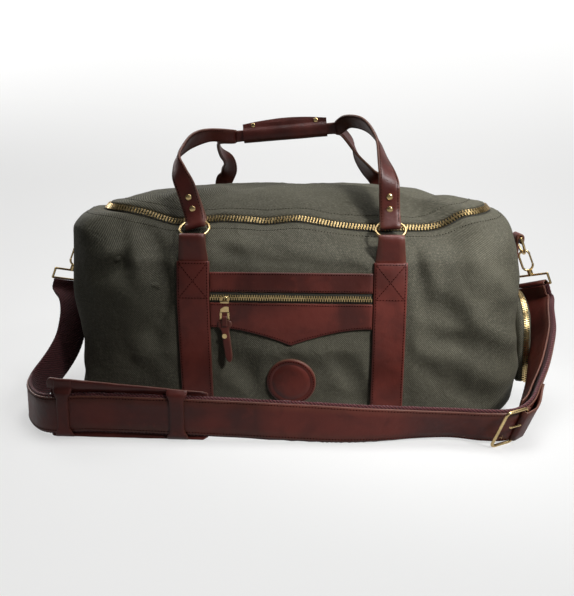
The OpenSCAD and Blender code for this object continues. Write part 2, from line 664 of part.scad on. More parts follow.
// Zip slider seen from outside: x runs along the zip, -y points out, and the puller's bar is at the origin;
// turn lays the bar along the zip (0) or across it (90)
slider_half = teeth_gap / 2 + teeth_w + seat;
slider_t = 1.6;
flange_t = 1.2;
flange_up = 0.6;
bar_r = 1.1;
bar_play = 0.3;
knuckle_r = bar_r + bar_play + 1.2;
knuckle_half = 2.1;
post_w = 1.4;
bar_half = knuckle_half + bar_play + post_w / 2;
bar_out = knuckle_r + 0.5;
module slider_body(turn = 0) {
    color(brass_colour) {
        translate([-slider_l / 2, bar_out, -slider_half - flange_t])
            cube([slider_l, slider_t, 2 * (slider_half + flange_t)]);
        for (e = [0, 1]) mirror([0, 0, e])
            translate([-slider_l / 2, bar_out, slider_half])
                cube([slider_l, slider_t + teeth_h - flange_up, flange_t]);
        rotate([0, turn, 0]) {
            for (e = [-1, 1]) translate([e * bar_half - post_w / 2, -bar_r, -bar_r])
                cube([post_w, bar_out + bar_r + 0.4, 2 * bar_r]);
            rotate([0, 90, 0]) cylinder(r = bar_r, h = 2 * bar_half, center = true);
        }
    }
}
slider_seat = bar_out + slider_t + seat;
neck_l = 5;
window_h = 5;
window_rim = 2.5;
puller_low = knuckle_r - puller_l;
module puller_plate() {
    window_w = puller_w - 2 * window_rim;
    color(brass_colour) difference() {
        union() {
            rotate([0, 90, 0]) cylinder(r = knuckle_r, h = 2 * knuckle_half, center = true);
            facing(-puller_t / 2, puller_t) difference() {
                union() {
                    translate([-knuckle_half, -neck_l]) square([2 * knuckle_half, neck_l]);
                    translate([-puller_w / 2, puller_low]) square([puller_w, -neck_l - puller_low]);
                }
                translate([-window_w / 2, puller_low + window_rim]) square([window_w, window_h]);
            }
        }
        rotate([0, 90, 0]) cylinder(r = bar_r + bar_play, h = 2 * knuckle_half + 1, center = true);
    }
}

slider_start = 11;
pocket_slider_x = -pocket_half + slider_l / 2 + slider_start;
pocket_bar_y = pocket_y - tape_t - seat - teeth_h - slider_seat;
module pocket_slider() translate([pocket_slider_x, pocket_bar_y, pocket_zip_z]) slider_body();
module pocket_puller() translate([pocket_slider_x, pocket_bar_y, pocket_zip_z]) puller_plate();
tab_top_w = 17;
tab_neck_w = 9;
tab_end_w = 7;
tab_t = 4;
tab_hinge_z = pocket_zip_z + puller_low - seat - tab_t / 2;
module pull_tab() {
    color(leather_colour) translate([pocket_slider_x, pocket_bar_y, tab_hinge_z]) {
        rotate([0, 90, 0]) cylinder(d = tab_t, h = tab_top_w, center = true);
        facing(-tab_t / 2, tab_t) polygon([
            [-tab_top_w / 2, 0], [tab_top_w / 2, 0], [tab_top_w / 2, -8], [tab_neck_w / 2, -16],
            [tab_end_w / 2, -tab_l], [-tab_end_w / 2, -tab_l], [-tab_neck_w / 2, -16], [-tab_top_w / 2, -8]]);
    }
}
stud_drop = 21;
module pull_stud() {
    color(brass_colour) translate([pocket_slider_x, pocket_bar_y - tab_t / 2 - seat, tab_hinge_z - stud_drop])
        rotate([90, 0, 0]) cylinder(d = stud_d, h = 1.5);
}

// The main zip's slider lies at the closed end on the left, with its puller out over the shoulder
main_slider_y = body_zip_end - slider_l / 2 - 3.5;
module at_main_slider() {
    translate([-zip_x, main_slider_y, zip_height + teeth_h + slider_seat])
        rotate([0, 0, -90]) rotate([-90, 0, 0]) children();
}
module main_slider() at_main_slider() slider_body();
module main_puller() at_main_slider() puller_plate();

// End tabs and their rings
module end_tab(sx) {
    color(leather_colour) mirror([sx > 0 ? 0 : 1, 0, 0]) {
        translate([end_x + seat, -end_tab_w / 2, end_tab_z]) cube([end_tab_t, end_tab_w, end_tab_l]);
        translate([end_loop_x, 0, end_loop_z]) rotate([90, 0, 0]) difference() {
            cylinder(r = ring_wire / 2 + seat + 3, h = end_tab_w, center = true);
            cylinder(r = ring_wire / 2 + seat, h = end_tab_w + 2, center = true);
        }
    }
}
module left_end_tab() end_tab(-1);
module right_end_tab() end_tab(1);

// D-ring: a bar through the tab's loop, and a bow that hangs down and out
module end_rings() {
    color(brass_colour) for (e = [0, 1]) mirror([e, 0, 0])
        translate([end_loop_x, 0, end_loop_z]) rotate([0, -hook_lean, 0]) {
            rotate([90, 0, 0]) cylinder(d = ring_wire, h = 2 * end_ring_r, center = true);
            for (s = [-1, 1]) translate([0, s * end_ring_r, -end_ring_drop]) {
                cylinder(d = ring_wire, h = end_ring_drop);
                translate([0, 0, end_ring_drop]) sphere(d = ring_wire);
            }
            translate([0, 0, -end_ring_drop]) rotate([0, 90, 0]) rotate([0, 0, -90])
                rotate_extrude(angle = 180) translate([end_ring_r, 0]) circle(d = ring_wire);
        }
}

// Snap hook, hanging from the end ring: an oval with a sprung gate, a swivel and a loop for the strap
module at_hook(sx) {
    mirror([sx > 0 ? 0 : 1, 0, 0]) translate([hook_x, 0, hook_z]) rotate([0, -hook_lean, 0]) children();
}
module half_turn(z, turn) {
    translate([0, 0, z]) rotate([90, 0, 0]) rotate([0, 0, turn])
        rotate_extrude(angle = 180) translate([hook_r, 0]) circle(d = hook_wire);
}
module snap_hook(sx) {
    inner = sling_w / 2 + 2;
    color(brass_colour) at_hook(sx) {
        half_turn(hook_top, 0);
        half_turn(hook_low, 180);
        translate([-hook_r, 0, hook_low]) cylinder(d = hook_wire, h = hook_straight);
        translate([0, 0, swivel_top - swivel_h]) cylinder(d = 7, h = swivel_h);
        rotate([0, 0, loop_turn]) {
            for (z = [swivel_top - swivel_h, loop_low]) translate([0, 0, z]) rotate([0, 90, 0])
                cylinder(d = hook_wire, h = 2 * inner, center = true);
            for (e = [-1, 1]) translate([e * inner, 0, loop_low]) {
                cylinder(d = hook_wire, h = loop_h);
                sphere(d = hook_wire);
                translate([0, 0, loop_h]) sphere(d = hook_wire);
            }
        }
    }
}
gate_d = 2.4;
gate_foot = 0.7;
module hook_gate(sx) {
    color(brass_colour) at_hook(sx) translate([hook_r, 0, hook_low + gate_foot])
        cylinder(d = gate_d, h = hook_straight - gate_foot - seat);
}
module left_hook() snap_hook(-1);
module right_hook() snap_hook(1);
module left_gate() hook_gate(-1);
module right_gate() hook_gate(1);

// End pocket on the right: an arched pouch with a zip round its rim
end_pocket_foot = 34;
end_pocket_spring = end_pocket_top - end_pocket_half * 0.9;
arch_steps = 12;
function arch(grow) = concat(
    [for (i = [0 : arch_steps]) let (a = 180 * i / arch_steps)
        [(end_pocket_half + grow) * cos(a), end_pocket_spring + (end_pocket_half * 0.9 + grow) * sin(a)]],
    [[-end_pocket_half - grow, end_pocket_foot], [end_pocket_half + grow, end_pocket_foot]]);
module end_pocket() {
    color(canvas_colour) translate([end_x + seat, 0, 0]) rotate([90, 0, 90]) linear_extrude(end_pocket_t)
        polygon(arch(0));
}
rim_x = end_x + seat + end_pocket_t * 0.6;
module end_pocket_zip() {
    color(brass_colour) for (e = [-1, 1])
        translate([rim_x + (e > 0 ? teeth_gap / 2 : -teeth_gap / 2 - teeth_w), 0, 0])
            rotate([90, 0, 90]) linear_extrude(teeth_w) difference() {
                polygon(arch(seat + teeth_h));
                polygon(arch(seat));
                translate([-end_pocket_half - 10, 0]) square([2 * end_pocket_half + 20, end_pocket_foot + 4]);
            }
}
end_slider_z = end_pocket_foot + 4 + slider_l / 2;
module at_end_slider() {
    translate([rim_x, end_pocket_half + seat + teeth_h + slider_seat, end_slider_z])
        rotate([0, 90, 0]) rotate([0, 0, 180]) children();
}
module end_slider() at_end_slider() slider_body(90);
module end_puller() at_end_slider() rotate([0, 90, 0]) puller_plate();

// Shoulder strap: webbing inside, leather outside, both on one route
facing_w = sling_w - 5;
module sling(width, low, high) {
    ribbon(smooth([for (p = sling_route) [p[0], p[1], width]], 2), low, high);
}
module strap_webbing() color(webbing_colour) sling(sling_w, seat, webbing_t);
module strap_facing() color(leather_colour) sling(facing_w, -facing_t, 0);

// Shoulder pad behind the straight front run, with two bridges over the strap
bridge_w = 16;
bridge_inset = 24;
module shoulder_pad() {
    back = -sling_front_y + webbing_t + seat;
    front = -sling_front_y - facing_t - seat;
    link_gap = sling_w / 2 + seat;
    low = max(sling_z - pad_w / 2, 0.4);
    color(leather_colour) {
        translate([pad_left, back, low]) cube([pad_l, pad_t, pad_w]);
        for (x = [pad_left + bridge_inset, pad_left + pad_l - bridge_inset - bridge_w]) {
            translate([x, front - pad_t, sling_z + link_gap]) cube([bridge_w, back - front + pad_t, 3]);
            translate([x, front - pad_t, sling_z - link_gap]) cube([bridge_w, pad_t, 2 * link_gap + 3]);
        }
    }
}

// Buckle on the strap's face, with a centre bar and a prong
buckle_half_l = 17;
buckle_half_h = 24;
prong_d = 2.4;
eye_gap = 0.2;
eye_t = 1.2;
eye_h = 5;
eye_r = buckle_wire / 2 + eye_gap + eye_t;
buckle_out = facing_t + seat + eye_r;
module at_buckle() {
    translate([buckle_point[0], buckle_point[1], sling_z + 1.5]) rotate([0, 0, buckle_turn])
        translate([0, buckle_out, 0]) children();
}
module buckle_frame() {
    color(brass_colour) at_buckle() {
        for (x = [-buckle_half_l, 0, buckle_half_l]) translate([x, 0, 0])
            cylinder(d = buckle_wire, h = 2 * buckle_half_h, center = true);
        for (z = [-buckle_half_h, buckle_half_h]) translate([0, 0, z]) rotate([0, 90, 0])
            cylinder(d = buckle_wire, h = 2 * buckle_half_l, center = true);
        for (x = [-buckle_half_l, buckle_half_l], z = [-buckle_half_h, buckle_half_h])
            translate([x, 0, z]) sphere(d = buckle_wire);
    }
}
module buckle_prong() {
    out = buckle_wire / 2 + seat + prong_d / 2;
    color(brass_colour) at_buckle() {
        difference() {
            cylinder(r = eye_r, h = eye_h, center = true);
            cylinder(r = buckle_wire / 2 + eye_gap, h = eye_h + 1, center = true);
        }
        translate([0, out, 0]) rotate([0, 90, 0]) cylinder(d = prong_d, h = buckle_half_l + 2);
    }
}

front_panel();
back_panel();
left_end_panel();
right_end_panel();
base_panel();
base_board();
lining();
hinge_binding();
zip_tape_body();
zip_teeth_body();
front_left_strap();
front_right_strap();
back_left_strap();
back_right_strap();
front_chapes();
back_chapes();
pocket_strip();
pocket_zip_tape();
pocket_zip_teeth();
pocket_apron();
pocket_bag();
round_patch();
left_end_tab();
right_end_tab();
end_rings();
end_pocket();
end_pocket_zip();
lid_panel();
zip_tape_lid();
zip_teeth_lid();
front_handle_strap();
front_handle_folds();
front_rivets();
front_rings();
grip_wrap();
grip_flap();
grip_snaps();
back_handle_strap();
back_handle_folds();
back_rivets();
back_rings();
pocket_slider();
pocket_puller();
pull_tab();
pull_stud();
main_slider();
main_puller();
end_slider();
end_puller();
left_hook();
right_hook();
left_gate();
right_gate();
strap_webbing();
strap_facing();
shoulder_pad();
buckle_frame();
buckle_prong();
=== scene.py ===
import math

import bpy
import bmesh
import numpy as np
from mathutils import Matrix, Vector, noise
from bpy.props import FloatProperty, FloatVectorProperty, PointerProperty


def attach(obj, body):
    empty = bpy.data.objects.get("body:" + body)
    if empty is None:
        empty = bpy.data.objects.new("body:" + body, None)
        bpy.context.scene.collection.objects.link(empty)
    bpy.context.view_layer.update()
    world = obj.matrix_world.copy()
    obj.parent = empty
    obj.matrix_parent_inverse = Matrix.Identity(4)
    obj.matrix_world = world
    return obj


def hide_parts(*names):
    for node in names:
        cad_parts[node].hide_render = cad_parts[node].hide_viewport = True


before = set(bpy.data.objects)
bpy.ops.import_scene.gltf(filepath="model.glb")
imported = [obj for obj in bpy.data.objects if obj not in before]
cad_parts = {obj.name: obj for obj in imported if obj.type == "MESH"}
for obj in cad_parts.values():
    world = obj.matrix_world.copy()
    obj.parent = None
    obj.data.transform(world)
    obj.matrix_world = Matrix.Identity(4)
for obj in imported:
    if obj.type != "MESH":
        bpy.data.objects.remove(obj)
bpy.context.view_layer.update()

bl_info = {
    "name": "Weekender Bag",
    "version": (1, 0, 0),
    "blender": (4, 5, 0),
    "location": "View3D > Sidebar > Weekender",
    "description": "Dresses the packed weekender bag in canvas, leather and brass",
    "category": "Object",
}

MM = 0.001

# Sizes shared with the frame, in millimetres
HALF_L, HALF_D, END_BOW = 280.0, 130.0, 14.0
CORNER_R, SHOULDER, HEM = 60.0, 36.0, 5.0
SHOULDER_Z = 201.0
HINGE_Y, HINGE_Z = 94.0, 245.0
STRAP_X, STRAP_W, STRAP_T, STRAP_TOP = 119.0, 40.0, 3.5, 200.0
RING_TOP_Y, RING_TOP_Z = 103.757, 246.75
GRIP = np.array([-16.0, 0.0, 355.75])
GRIP_TILT = math.radians(4.6)


# Small maths

def smoothstep(low, high, x):
    t = np.clip((np.asarray(x, float) - low) / (high - low), 0.0, 1.0)
    return t * t * (3 - 2 * t)


def unit(v):
    v = np.asarray(v, float)
    return v / np.maximum(np.linalg.norm(v, axis=-1, keepdims=True), 1e-9)


def field(points, size, seed=0.0, octaves=3):
    """Smooth noise from -1 to 1 at each point; size is the width of its waves, one or one per axis."""
    p = np.asarray(points, float) / np.asarray(size, float) + seed
    flat = p.reshape(-1, 3)
    values = [noise.fractal(Vector(q), 1.0, 2.0, octaves, noise_basis="PERLIN_ORIGINAL") for q in flat]
    return np.array(values).reshape(p.shape[:-1])


def curve_through(points, samples):
    """Smooth curve through the points, sampled evenly between neighbours."""
    p = np.asarray(points, float)
    ends = np.vstack([2 * p[0] - p[1], p, 2 * p[-1] - p[-2]])
    out = []
    for i in range(len(p) - 1):
        a, b, c, d = ends[i:i + 4]
        for t in np.arange(samples) / samples:
            out.append(0.5 * (2 * b + (c - a) * t + (2 * a - 5 * b + 4 * c - d) * t ** 2
                              + (3 * b - a - 3 * c + d) * t ** 3))
    return np.array(out + [p[-1]])


def lengths(line):
    return np.concatenate([[0], np.cumsum(np.linalg.norm(np.diff(line, axis=0), axis=1))])


def spaced(line, step, start=0.0):
    """Points along a line every step, from start."""
    run = lengths(line)
    at = np.arange(start, run[-1], step)
    return np.stack([np.interp(at, run, line[:, k]) for k in range(line.shape[1])], 1)


# Mesh building

class Form:
    """Collects grids and loops of points, in millimetres, and turns them into one piece."""

    def __init__(self):
        self.points, self.faces, self.uvs, self.rims = [], [], [], []

    def add(self, points, rim=0.0):
        first = len(self.points)
        flat = np.asarray(points, float).reshape(-1, 3)
        self.points.extend(flat.tolist())
        self.rims.extend(np.broadcast_to(rim, flat.shape[:1]).tolist())
        return first + np.arange(len(flat))

    def grid(self, points, wrap=False, flip=False, rim=None):
        g = np.asarray(points, float)
        rows, cols = g.shape[:2]
        index = self.add(g, 0.0 if rim is None else np.asarray(rim, float).reshape(-1)).reshape(rows, cols)
        wide = np.concatenate([g, g[:, :1]], 1) if wrap else g
        across = np.linalg.norm(np.diff(wide, axis=1), axis=2).mean(0) * MM
        down = np.linalg.norm(np.diff(g, axis=0), axis=2).mean(1) * MM
        u, v = np.concatenate([[0], np.cumsum(across)]), np.concatenate([[0], np.cumsum(down)])
        for r in range(rows - 1):
            for c in range(cols if wrap else cols - 1):
                ring = [(r, c), (r, c + 1), (r + 1, c + 1), (r + 1, c)]
                if flip:
                    ring.reverse()
                self.faces.append([int(index[i, j % cols]) for i, j in ring])
                self.uvs.append([(u[j], v[i]) for i, j in ring])
        return index

    def band(self, a, b, closed=False):
        n = len(a) if closed else len(a) - 1
        for i in range(n):
            j = (i + 1) % len(a)
            self.faces.append([int(a[i]), int(b[i]), int(b[j]), int(a[j])])
            self.uvs.append([(0, 0), (0, 0.002), (0.002, 0.002), (0.002, 0)])

    def cap(self, loop, flip=False):
        loop = [int(i) for i in (reversed(loop) if flip else loop)]
        self.faces.append(loop)
        self.uvs.append([(0.0, 0.0)] * len(loop))

    def plate(self, top, bottom, rim=None):
        """Closed plate between two grids of the same size."""
        a, b = self.grid(top, rim=rim), self.grid(bottom, flip=True)
        self.band(border(a), border(b), closed=True)

    def tube(self, rings, rim=None):
        """Closed sweep through rings of points."""
        index = self.grid(rings, wrap=True, rim=rim)
        self.cap(index[0], flip=True)
        self.cap(index[-1])

    def show(self, name, finish, body, nodes, sharp=None):
        """Makes the piece, puts it in the scene and lets it stand for frame nodes."""
        return show(name, self.mesh(name, finishes()[finish]), body, nodes, sharp)

    def mesh(self, name, finish, outward=True):
        mesh = bpy.data.meshes.new(name)
        mesh.from_pydata((np.array(self.points) * MM).tolist(), [], self.faces)
        uv = mesh.uv_layers.new(name="UVMap")
        uv.data.foreach_set("uv", np.array([w for f in self.uvs for w in f], np.float32).ravel())
        rim = mesh.attributes.new("rim", "FLOAT", "POINT")
        rim.data.foreach_set("value", np.array(self.rims, np.float32))
        if outward:
            bm = bmesh.new()
            bm.from_mesh(mesh)
            bmesh.ops.recalc_face_normals(bm, faces=bm.faces)
            bm.to_mesh(mesh)
            bm.free()
        mesh.polygons.foreach_set("use_smooth", [True] * len(mesh.polygons))
        mesh.materials.append(finish)
        mesh.update()
        return mesh


def border(index):
    return np.concatenate([index[0, :-1], index[:-1, -1], index[-1, :0:-1], index[:0:-1, 0]])


def show(name, mesh, body, nodes=(), sharp=None):
    """Puts a mesh in the scene as a piece that rides on a body and may stand for frame nodes."""
    piece = bpy.data.objects.new(name, mesh)
    bpy.context.scene.collection.objects.link(piece)
    if sharp:
        mesh.set_sharp_from_angle(angle=math.radians(sharp))
    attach(piece, body)
    if nodes:
        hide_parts(*nodes)
    return piece


# Repeats made with geometry nodes: one small shape along each line

BEAD = {"Segments": 6, "Rings": 4, "Radius": 0.5}
# Length, width and height in metres of the near-black bead beside each stitch: painted shade for its needle
# hole
HOLE_SHADE_SIZE = (0.0014, 0.0013, 0.0006)


def repeat_tree(name, shape):
    """Node tree that sets a block, or a bead with a dark spot of painted hole shade beside it, at even spaces
    along lines.
    """
    tree = bpy.data.node_groups.new(name, "GeometryNodeTree")
    for label, kind in (("Lines", "Geometry"), ("Spacing", "Float"), ("Size", "Vector"),
                        ("Finish", "Material"), ("Hole shade", "Material")):
        tree.interface.new_socket(label, in_out="INPUT", socket_type="NodeSocket" + kind)
    tree.interface.new_socket("Repeats", in_out="OUTPUT", socket_type="NodeSocketGeometry")

    def add(kind, values=None, **settings):
        node = tree.nodes.new(kind)
        for key, value in settings.items():
            setattr(node, key, value)
        for key, value in (values or {}).items():
            node.inputs[key].default_value = value
        return node

    def link(*wires):
        for source, output, target, entry in wires:
            tree.links.new(source.outputs[output], target.inputs[entry])

    start, end = add("NodeGroupInput"), add("NodeGroupOutput")
    curve, even = add("GeometryNodeMeshToCurve"), add("GeometryNodeResampleCurve", mode="LENGTH")
    up = add("GeometryNodeInputNamedAttribute", {"Name": "up"}, data_type="FLOAT_VECTOR")
    tangent = add("GeometryNodeInputTangent")
    along = add("FunctionNodeAlignRotationToVector", axis="X")
    stand = add("FunctionNodeAlignRotationToVector", axis="Z", pivot_axis="X")
    one = add("GeometryNodeMeshCube") if shape == "block" else add("GeometryNodeMeshUVSphere", BEAD)
    sized, place = add("GeometryNodeTransform"), add("GeometryNodeInstanceOnPoints")
    real, colour = add("GeometryNodeRealizeInstances"), add("GeometryNodeSetMaterial")
    link((one, "Mesh", sized, "Geometry"), (start, "Size", sized, "Scale"))
    unit_shape, done = sized, colour
    if shape == "bead":
        # Stitches: a flat near-black bead half a space along, painted shade where the needle hole is, marked
        # to get the hole-shade finish
        pit, unit_shape = add("GeometryNodeMeshUVSphere", BEAD), add("GeometryNodeJoinGeometry")
        sunk = add("GeometryNodeTransform", {"Scale": HOLE_SHADE_SIZE})
        mark = add("GeometryNodeStoreNamedAttribute", {"Name": "hole", "Value": True}, data_type="BOOLEAN")
        half, offset = add("ShaderNodeMath", {1: 0.5}, operation="MULTIPLY"), add("ShaderNodeCombineXYZ")
        chosen = add("GeometryNodeInputNamedAttribute", {"Name": "hole"}, data_type="BOOLEAN")
        done = add("GeometryNodeSetMaterial")
        link((start, "Spacing", half, 0), (half, 0, offset, 0), (pit, "Mesh", sunk, "Geometry"),
             (offset, 0, sunk, "Translation"), (sunk, "Geometry", mark, "Geometry"),
             (mark, "Geometry", unit_shape, 0), (sized, "Geometry", unit_shape, 0),
             (colour, "Geometry", done, "Geometry"), (chosen, "Attribute", done, "Selection"),
             (start, "Hole shade", done, "Material"))
    link((start, "Lines", curve, "Mesh"), (curve, "Curve", even, "Curve"), (start, "Spacing", even, "Length"),
         (tangent, "Tangent", along, "Vector"), (along, "Rotation", stand, "Rotation"),
         (up, "Attribute", stand, "Vector"), (even, "Curve", place, "Points"),
         (unit_shape, 0, place, "Instance"), (stand, "Rotation", place, "Rotation"),
         (place, "Instances", real, "Geometry"), (real, "Geometry", colour, "Geometry"),
         (start, "Finish", colour, "Material"), (done, "Geometry", end, "Repeats"))
    return tree


def repeat(name, lines, tree_name, spacing, size, finish):
    """Mesh of one small shape repeated along lines of (points, ups), in millimetres."""
    tree = bpy.data.node_groups.get(tree_name) or repeat_tree(
        tree_name, "block" if tree_name == "Tooth row" else "bead")
    points, edges, ups = [], [], []
    for line, up in lines:
        first = len(points)
        points.extend((np.asarray(line, float) * MM).tolist())
        ups.extend(np.broadcast_to(up, (len(line), 3)).tolist())
        edges.extend((first + i, first + i + 1) for i in range(len(line) - 1))
    guide = bpy.data.meshes.new(name + " lines")
    guide.from_pydata(points, edges, [])
    ways = guide.attributes.new("up", "FLOAT_VECTOR", "POINT")
    ways.data.foreach_set("vector", np.array(ups, np.float32).ravel())
    holder = bpy.data.objects.new(name + " lines", guide)
    bpy.context.scene.collection.objects.link(holder)
    mod = holder.modifiers.new("Repeat", "NODES")
    mod.node_group = tree
    keys = {s.name: s.identifier for s in tree.interface.items_tree if s.in_out == "INPUT"}
    # The stitches' needle holes get the near-black painted shade finish
    for label, value in (("Spacing", spacing * MM), ("Size", [v * MM for v in size]), ("Finish", finish),
                         ("Hole shade", finishes()["Stitch hole"])):
        mod[keys[label]] = value
    bpy.context.view_layer.update()
    done = holder.evaluated_get(bpy.context.evaluated_depsgraph_get())
    mesh = bpy.data.meshes.new_from_object(done)
    mesh.name = name
    bpy.data.objects.remove(holder)
    bpy.data.meshes.remove(guide)
    if not mesh.materials:
        mesh.materials.append(finish)
    mesh.polygons.foreach_set("use_smooth", [tree_name != "Tooth row"] * len(mesh.polygons))
    return mesh


# Length, width and height of one stitch or tooth
STITCH, HEM_STITCH = (2.3, 0.95, 0.8), (2.4, 0.8, 0.6)
MAIN_TOOTH, POCKET_TOOTH = (1.7, 4.4, 2.6), (1.25, 3.8, 2.4)


def stitches(name, lines, body, spacing=3.6, size=STITCH, finish="Thread"):
    mesh = repeat(name, lines, "Stitch row", spacing, size, finishes()[finish])
    return show(name, mesh, body)


def teeth(name, lines, body, spacing, size, nodes):
    mesh = repeat(name, lines, "Tooth row", spacing, size, finishes()["Brass"])
    return show(name, mesh, body, nodes)


# Finishes

class Val:
    """One socket of a finish, for writing shader maths as expressions."""

    def __init__(self, finish, socket):
        self.finish, self.socket = finish, socket

    def maths(self, operation, *values):
        node = self.finish.node("ShaderNodeMath", dict(enumerate(values)), operation=operation)
        return Val(self.finish, node.outputs[0])

    def __add__(self, other):
        return self.maths("ADD", self, other)

    def __sub__(self, other):
        return self.maths("SUBTRACT", self, other)

    def __mul__(self, other):
        return self.maths("MULTIPLY", self, other)

    def __rsub__(self, other):
        return self.maths("SUBTRACT", other, self)

    __radd__, __rmul__ = __add__, __mul__

    def sine(self):
        return self.maths("SINE", self)

    def between(self, low, high):
        """0 below low, 1 above high, smooth in between."""
        node = self.finish.node("ShaderNodeMapRange", {"Value": self, "From Min": low, "From Max": high},
                                interpolation_type="SMOOTHSTEP")
        return Val(self.finish, node.outputs[0])


class Finish:
    """A material under construction."""

    def __init__(self, name):
        self.material = bpy.data.materials.new(name)
        self.material.use_nodes = True
        self.tree = self.material.node_tree
        self.shader = self.tree.nodes["Principled BSDF"]

    def node(self, kind, values=None, **settings):
        node = self.tree.nodes.new(kind)
        for key, value in settings.items():
            setattr(node, key, value)
        for key, value in (values or {}).items():
            self.put(node.inputs[key], value)
        return node

    def put(self, socket, value):
        if isinstance(value, Val):
            value = value.socket
        if isinstance(value, bpy.types.NodeSocket):
            self.tree.links.new(value, socket)
        else:
            socket.default_value = (*value, 1) if socket.type == "RGBA" and len(value) == 3 else value

    def value(self, node, output=0):
        return Val(self, node.outputs[output])

    def coordinate(self, output, scale=(1, 1, 1)):
        place = self.node("ShaderNodeTexCoord").outputs[output]
        return self.node("ShaderNodeMapping", {"Vector": place, "Scale": scale}).outputs[0]

    def yarns(self):
        """The two ways of the cloth, in metres along the piece."""
        split = self.node("ShaderNodeSeparateXYZ", {0: self.coordinate("UV")})
        return self.value(split, 0), self.value(split, 1)

    def cloud(self, place, scale, detail=3.0, distortion=0.0):
        return self.value(self.node("ShaderNodeTexNoise", {
            "Vector": place, "Scale": scale, "Detail": detail, "Distortion": distortion}))

    def cells(self, place, scale, feature="DISTANCE_TO_EDGE"):
        values = {"Vector": place, "Scale": scale}
        return self.value(self.node("ShaderNodeTexVoronoi", values, feature=feature))

    def mix(self, amount, a, b):
        """Colour a where amount is 0 and b where it is 1."""
        return self.node("ShaderNodeMix", {0: amount, 6: a, 7: b}, data_type="RGBA").outputs[2]

    def bump(self, height, distance, strength=1.0, normal=None):
        values = {"Height": height, "Distance": distance, "Strength": strength}
        if normal is not None:
            values["Normal"] = normal
        return self.node("ShaderNodeBump", values).outputs[0]

    def attribute(self, name):
        return self.value(self.node("ShaderNodeAttribute", attribute_name=name), "Fac")

    def done(self, **values):
        for key, value in values.items():
            self.put(self.shader.inputs[key.replace("_", " ")], value)
        return self.material


def shade(colour, amount):
    return tuple(max(0.0, min(1.0, c * amount)) for c in colour)


# Distance from one ridge of the cloth to the next, in metres
TWILL, RIB, TAPE_WEAVE, LINING_WEAVE = 0.0026, 0.0042, 0.0012, 0.0016
ROUND = 2 * math.pi


def canvas_finish(colour):
    f = Finish("Waxed canvas")
    u, v = f.yarns()
    wander = f.cloud(f.coordinate("UV"), 180.0, 2.0)
    twill = ((u + v) * (ROUND / TWILL) + wander * 2.2).sine() * 0.5 + 0.5
    slant = f.node("ShaderNodeCombineXYZ", {0: (u + v) * 800.0, 1: (u - v) * 190.0}).outputs[0]
    slub = f.cloud(slant, 1.0, 2.0)
    body = f.coordinate("Object")
    broad = f.cloud(body, 8.0, 4.0, 0.4)
    fleck = f.cloud(body, 520.0, 2.0)
    crease = 1 - f.cells(f.coordinate("Object", (1.0, 1.0, 0.6)), 21.0).between(0.0, 0.07)
    patchy = f.cloud(body, 13.0, 3.0, 1.5).between(0.5, 0.72)
    worn = crease * patchy * f.cloud(body, 90.0, 3.0).between(0.35, 0.65)
    base = f.mix(broad.between(0.3, 0.72), shade(colour, 0.70), shade(colour, 1.25))
    base = f.mix(slub.between(0.4, 0.68) * 0.65, base, shade(colour, 2.0))
    base = f.mix((1 - twill.between(0.1, 0.8)) * 0.66, base, shade(colour, 0.16))
    base = f.mix(fleck.between(0.6, 0.78) * 0.45, base, shade(colour, 2.3))
    base = f.mix(worn * 0.16, base, shade(colour, 2.0))
    normal = f.bump(twill * 0.6 + slub * 0.4, 0.0008, 0.5)
    normal = f.bump(f.cloud(body, 34.0, 4.0, 0.8), 0.006, 0.4, normal)
    return f.done(Base_Color=base, Roughness=broad * 0.16 + 0.66, Normal=normal, Specular_IOR_Level=0.22)


def leather_finish(name, colour, shine=1.0):
    f = Finish(name)
    body = f.coordinate("Object")
    broad = f.cloud(body, 12.0, 4.0, 0.6)
    pores = f.cells(body, 1100.0, "F1")
    rim = f.attribute("rim")
    base = f.mix(broad.between(0.3, 0.7), shade(colour, 0.55), shade(colour, 1.4))
    base = f.mix(f.cloud(body, 34.0, 4.0, 0.8).between(0.48, 0.75) * 0.45, base, shade(colour, 0.45))
    base = f.mix(f.cloud(body, 80.0, 3.0).between(0.55, 0.8) * 0.35, base, shade(colour, 1.7))
    base = f.mix(rim * 0.65, base, (colour[0] * 1.7, colour[1] * 4.5, colour[2] * 4.2))
    normal = f.bump(pores, 0.0003, 0.3)
    normal = f.bump(f.cloud(body, 40.0, 4.0), 0.004, 0.4, normal)
    return f.done(Base_Color=base, Roughness=broad * 0.3 + 0.3, Normal=normal,
                  Specular_IOR_Level=0.4 * shine)


def brass_finish(colour):
    f = Finish("Brass")
    body = f.coordinate("Object")
    broad = f.cloud(body, 90.0, 3.0)
    scratch = f.cloud(f.coordinate("Object", (1.0, 6.0, 1.0)), 600.0, 2.0)
    base = f.mix(broad.between(0.35, 0.75), shade(colour, 0.82), shade(colour, 1.12))
    normal = f.bump(scratch, 0.0002, 0.15)
    return f.done(Base_Color=base, Metallic=1.0, Roughness=broad * 0.18 + 0.18, Normal=normal)


def plain_weave(name, colour, pitch):
    f = Finish(name)
    u, v = f.yarns()
    weave = (u * (ROUND / pitch)).sine() * (v * (ROUND / pitch)).sine() * 0.5 + 0.5
    broad = f.cloud(f.coordinate("Object"), 25.0, 3.0)
    base = f.mix(broad.between(0.3, 0.7), shade(colour, 0.8), shade(colour, 1.2))
    base = f.mix(weave * 0.4, base, shade(colour, 0.5))
    return f.done(Base_Color=base, Roughness=broad * 0.1 + 0.78, Normal=f.bump(weave, pitch * 0.3, 0.5))


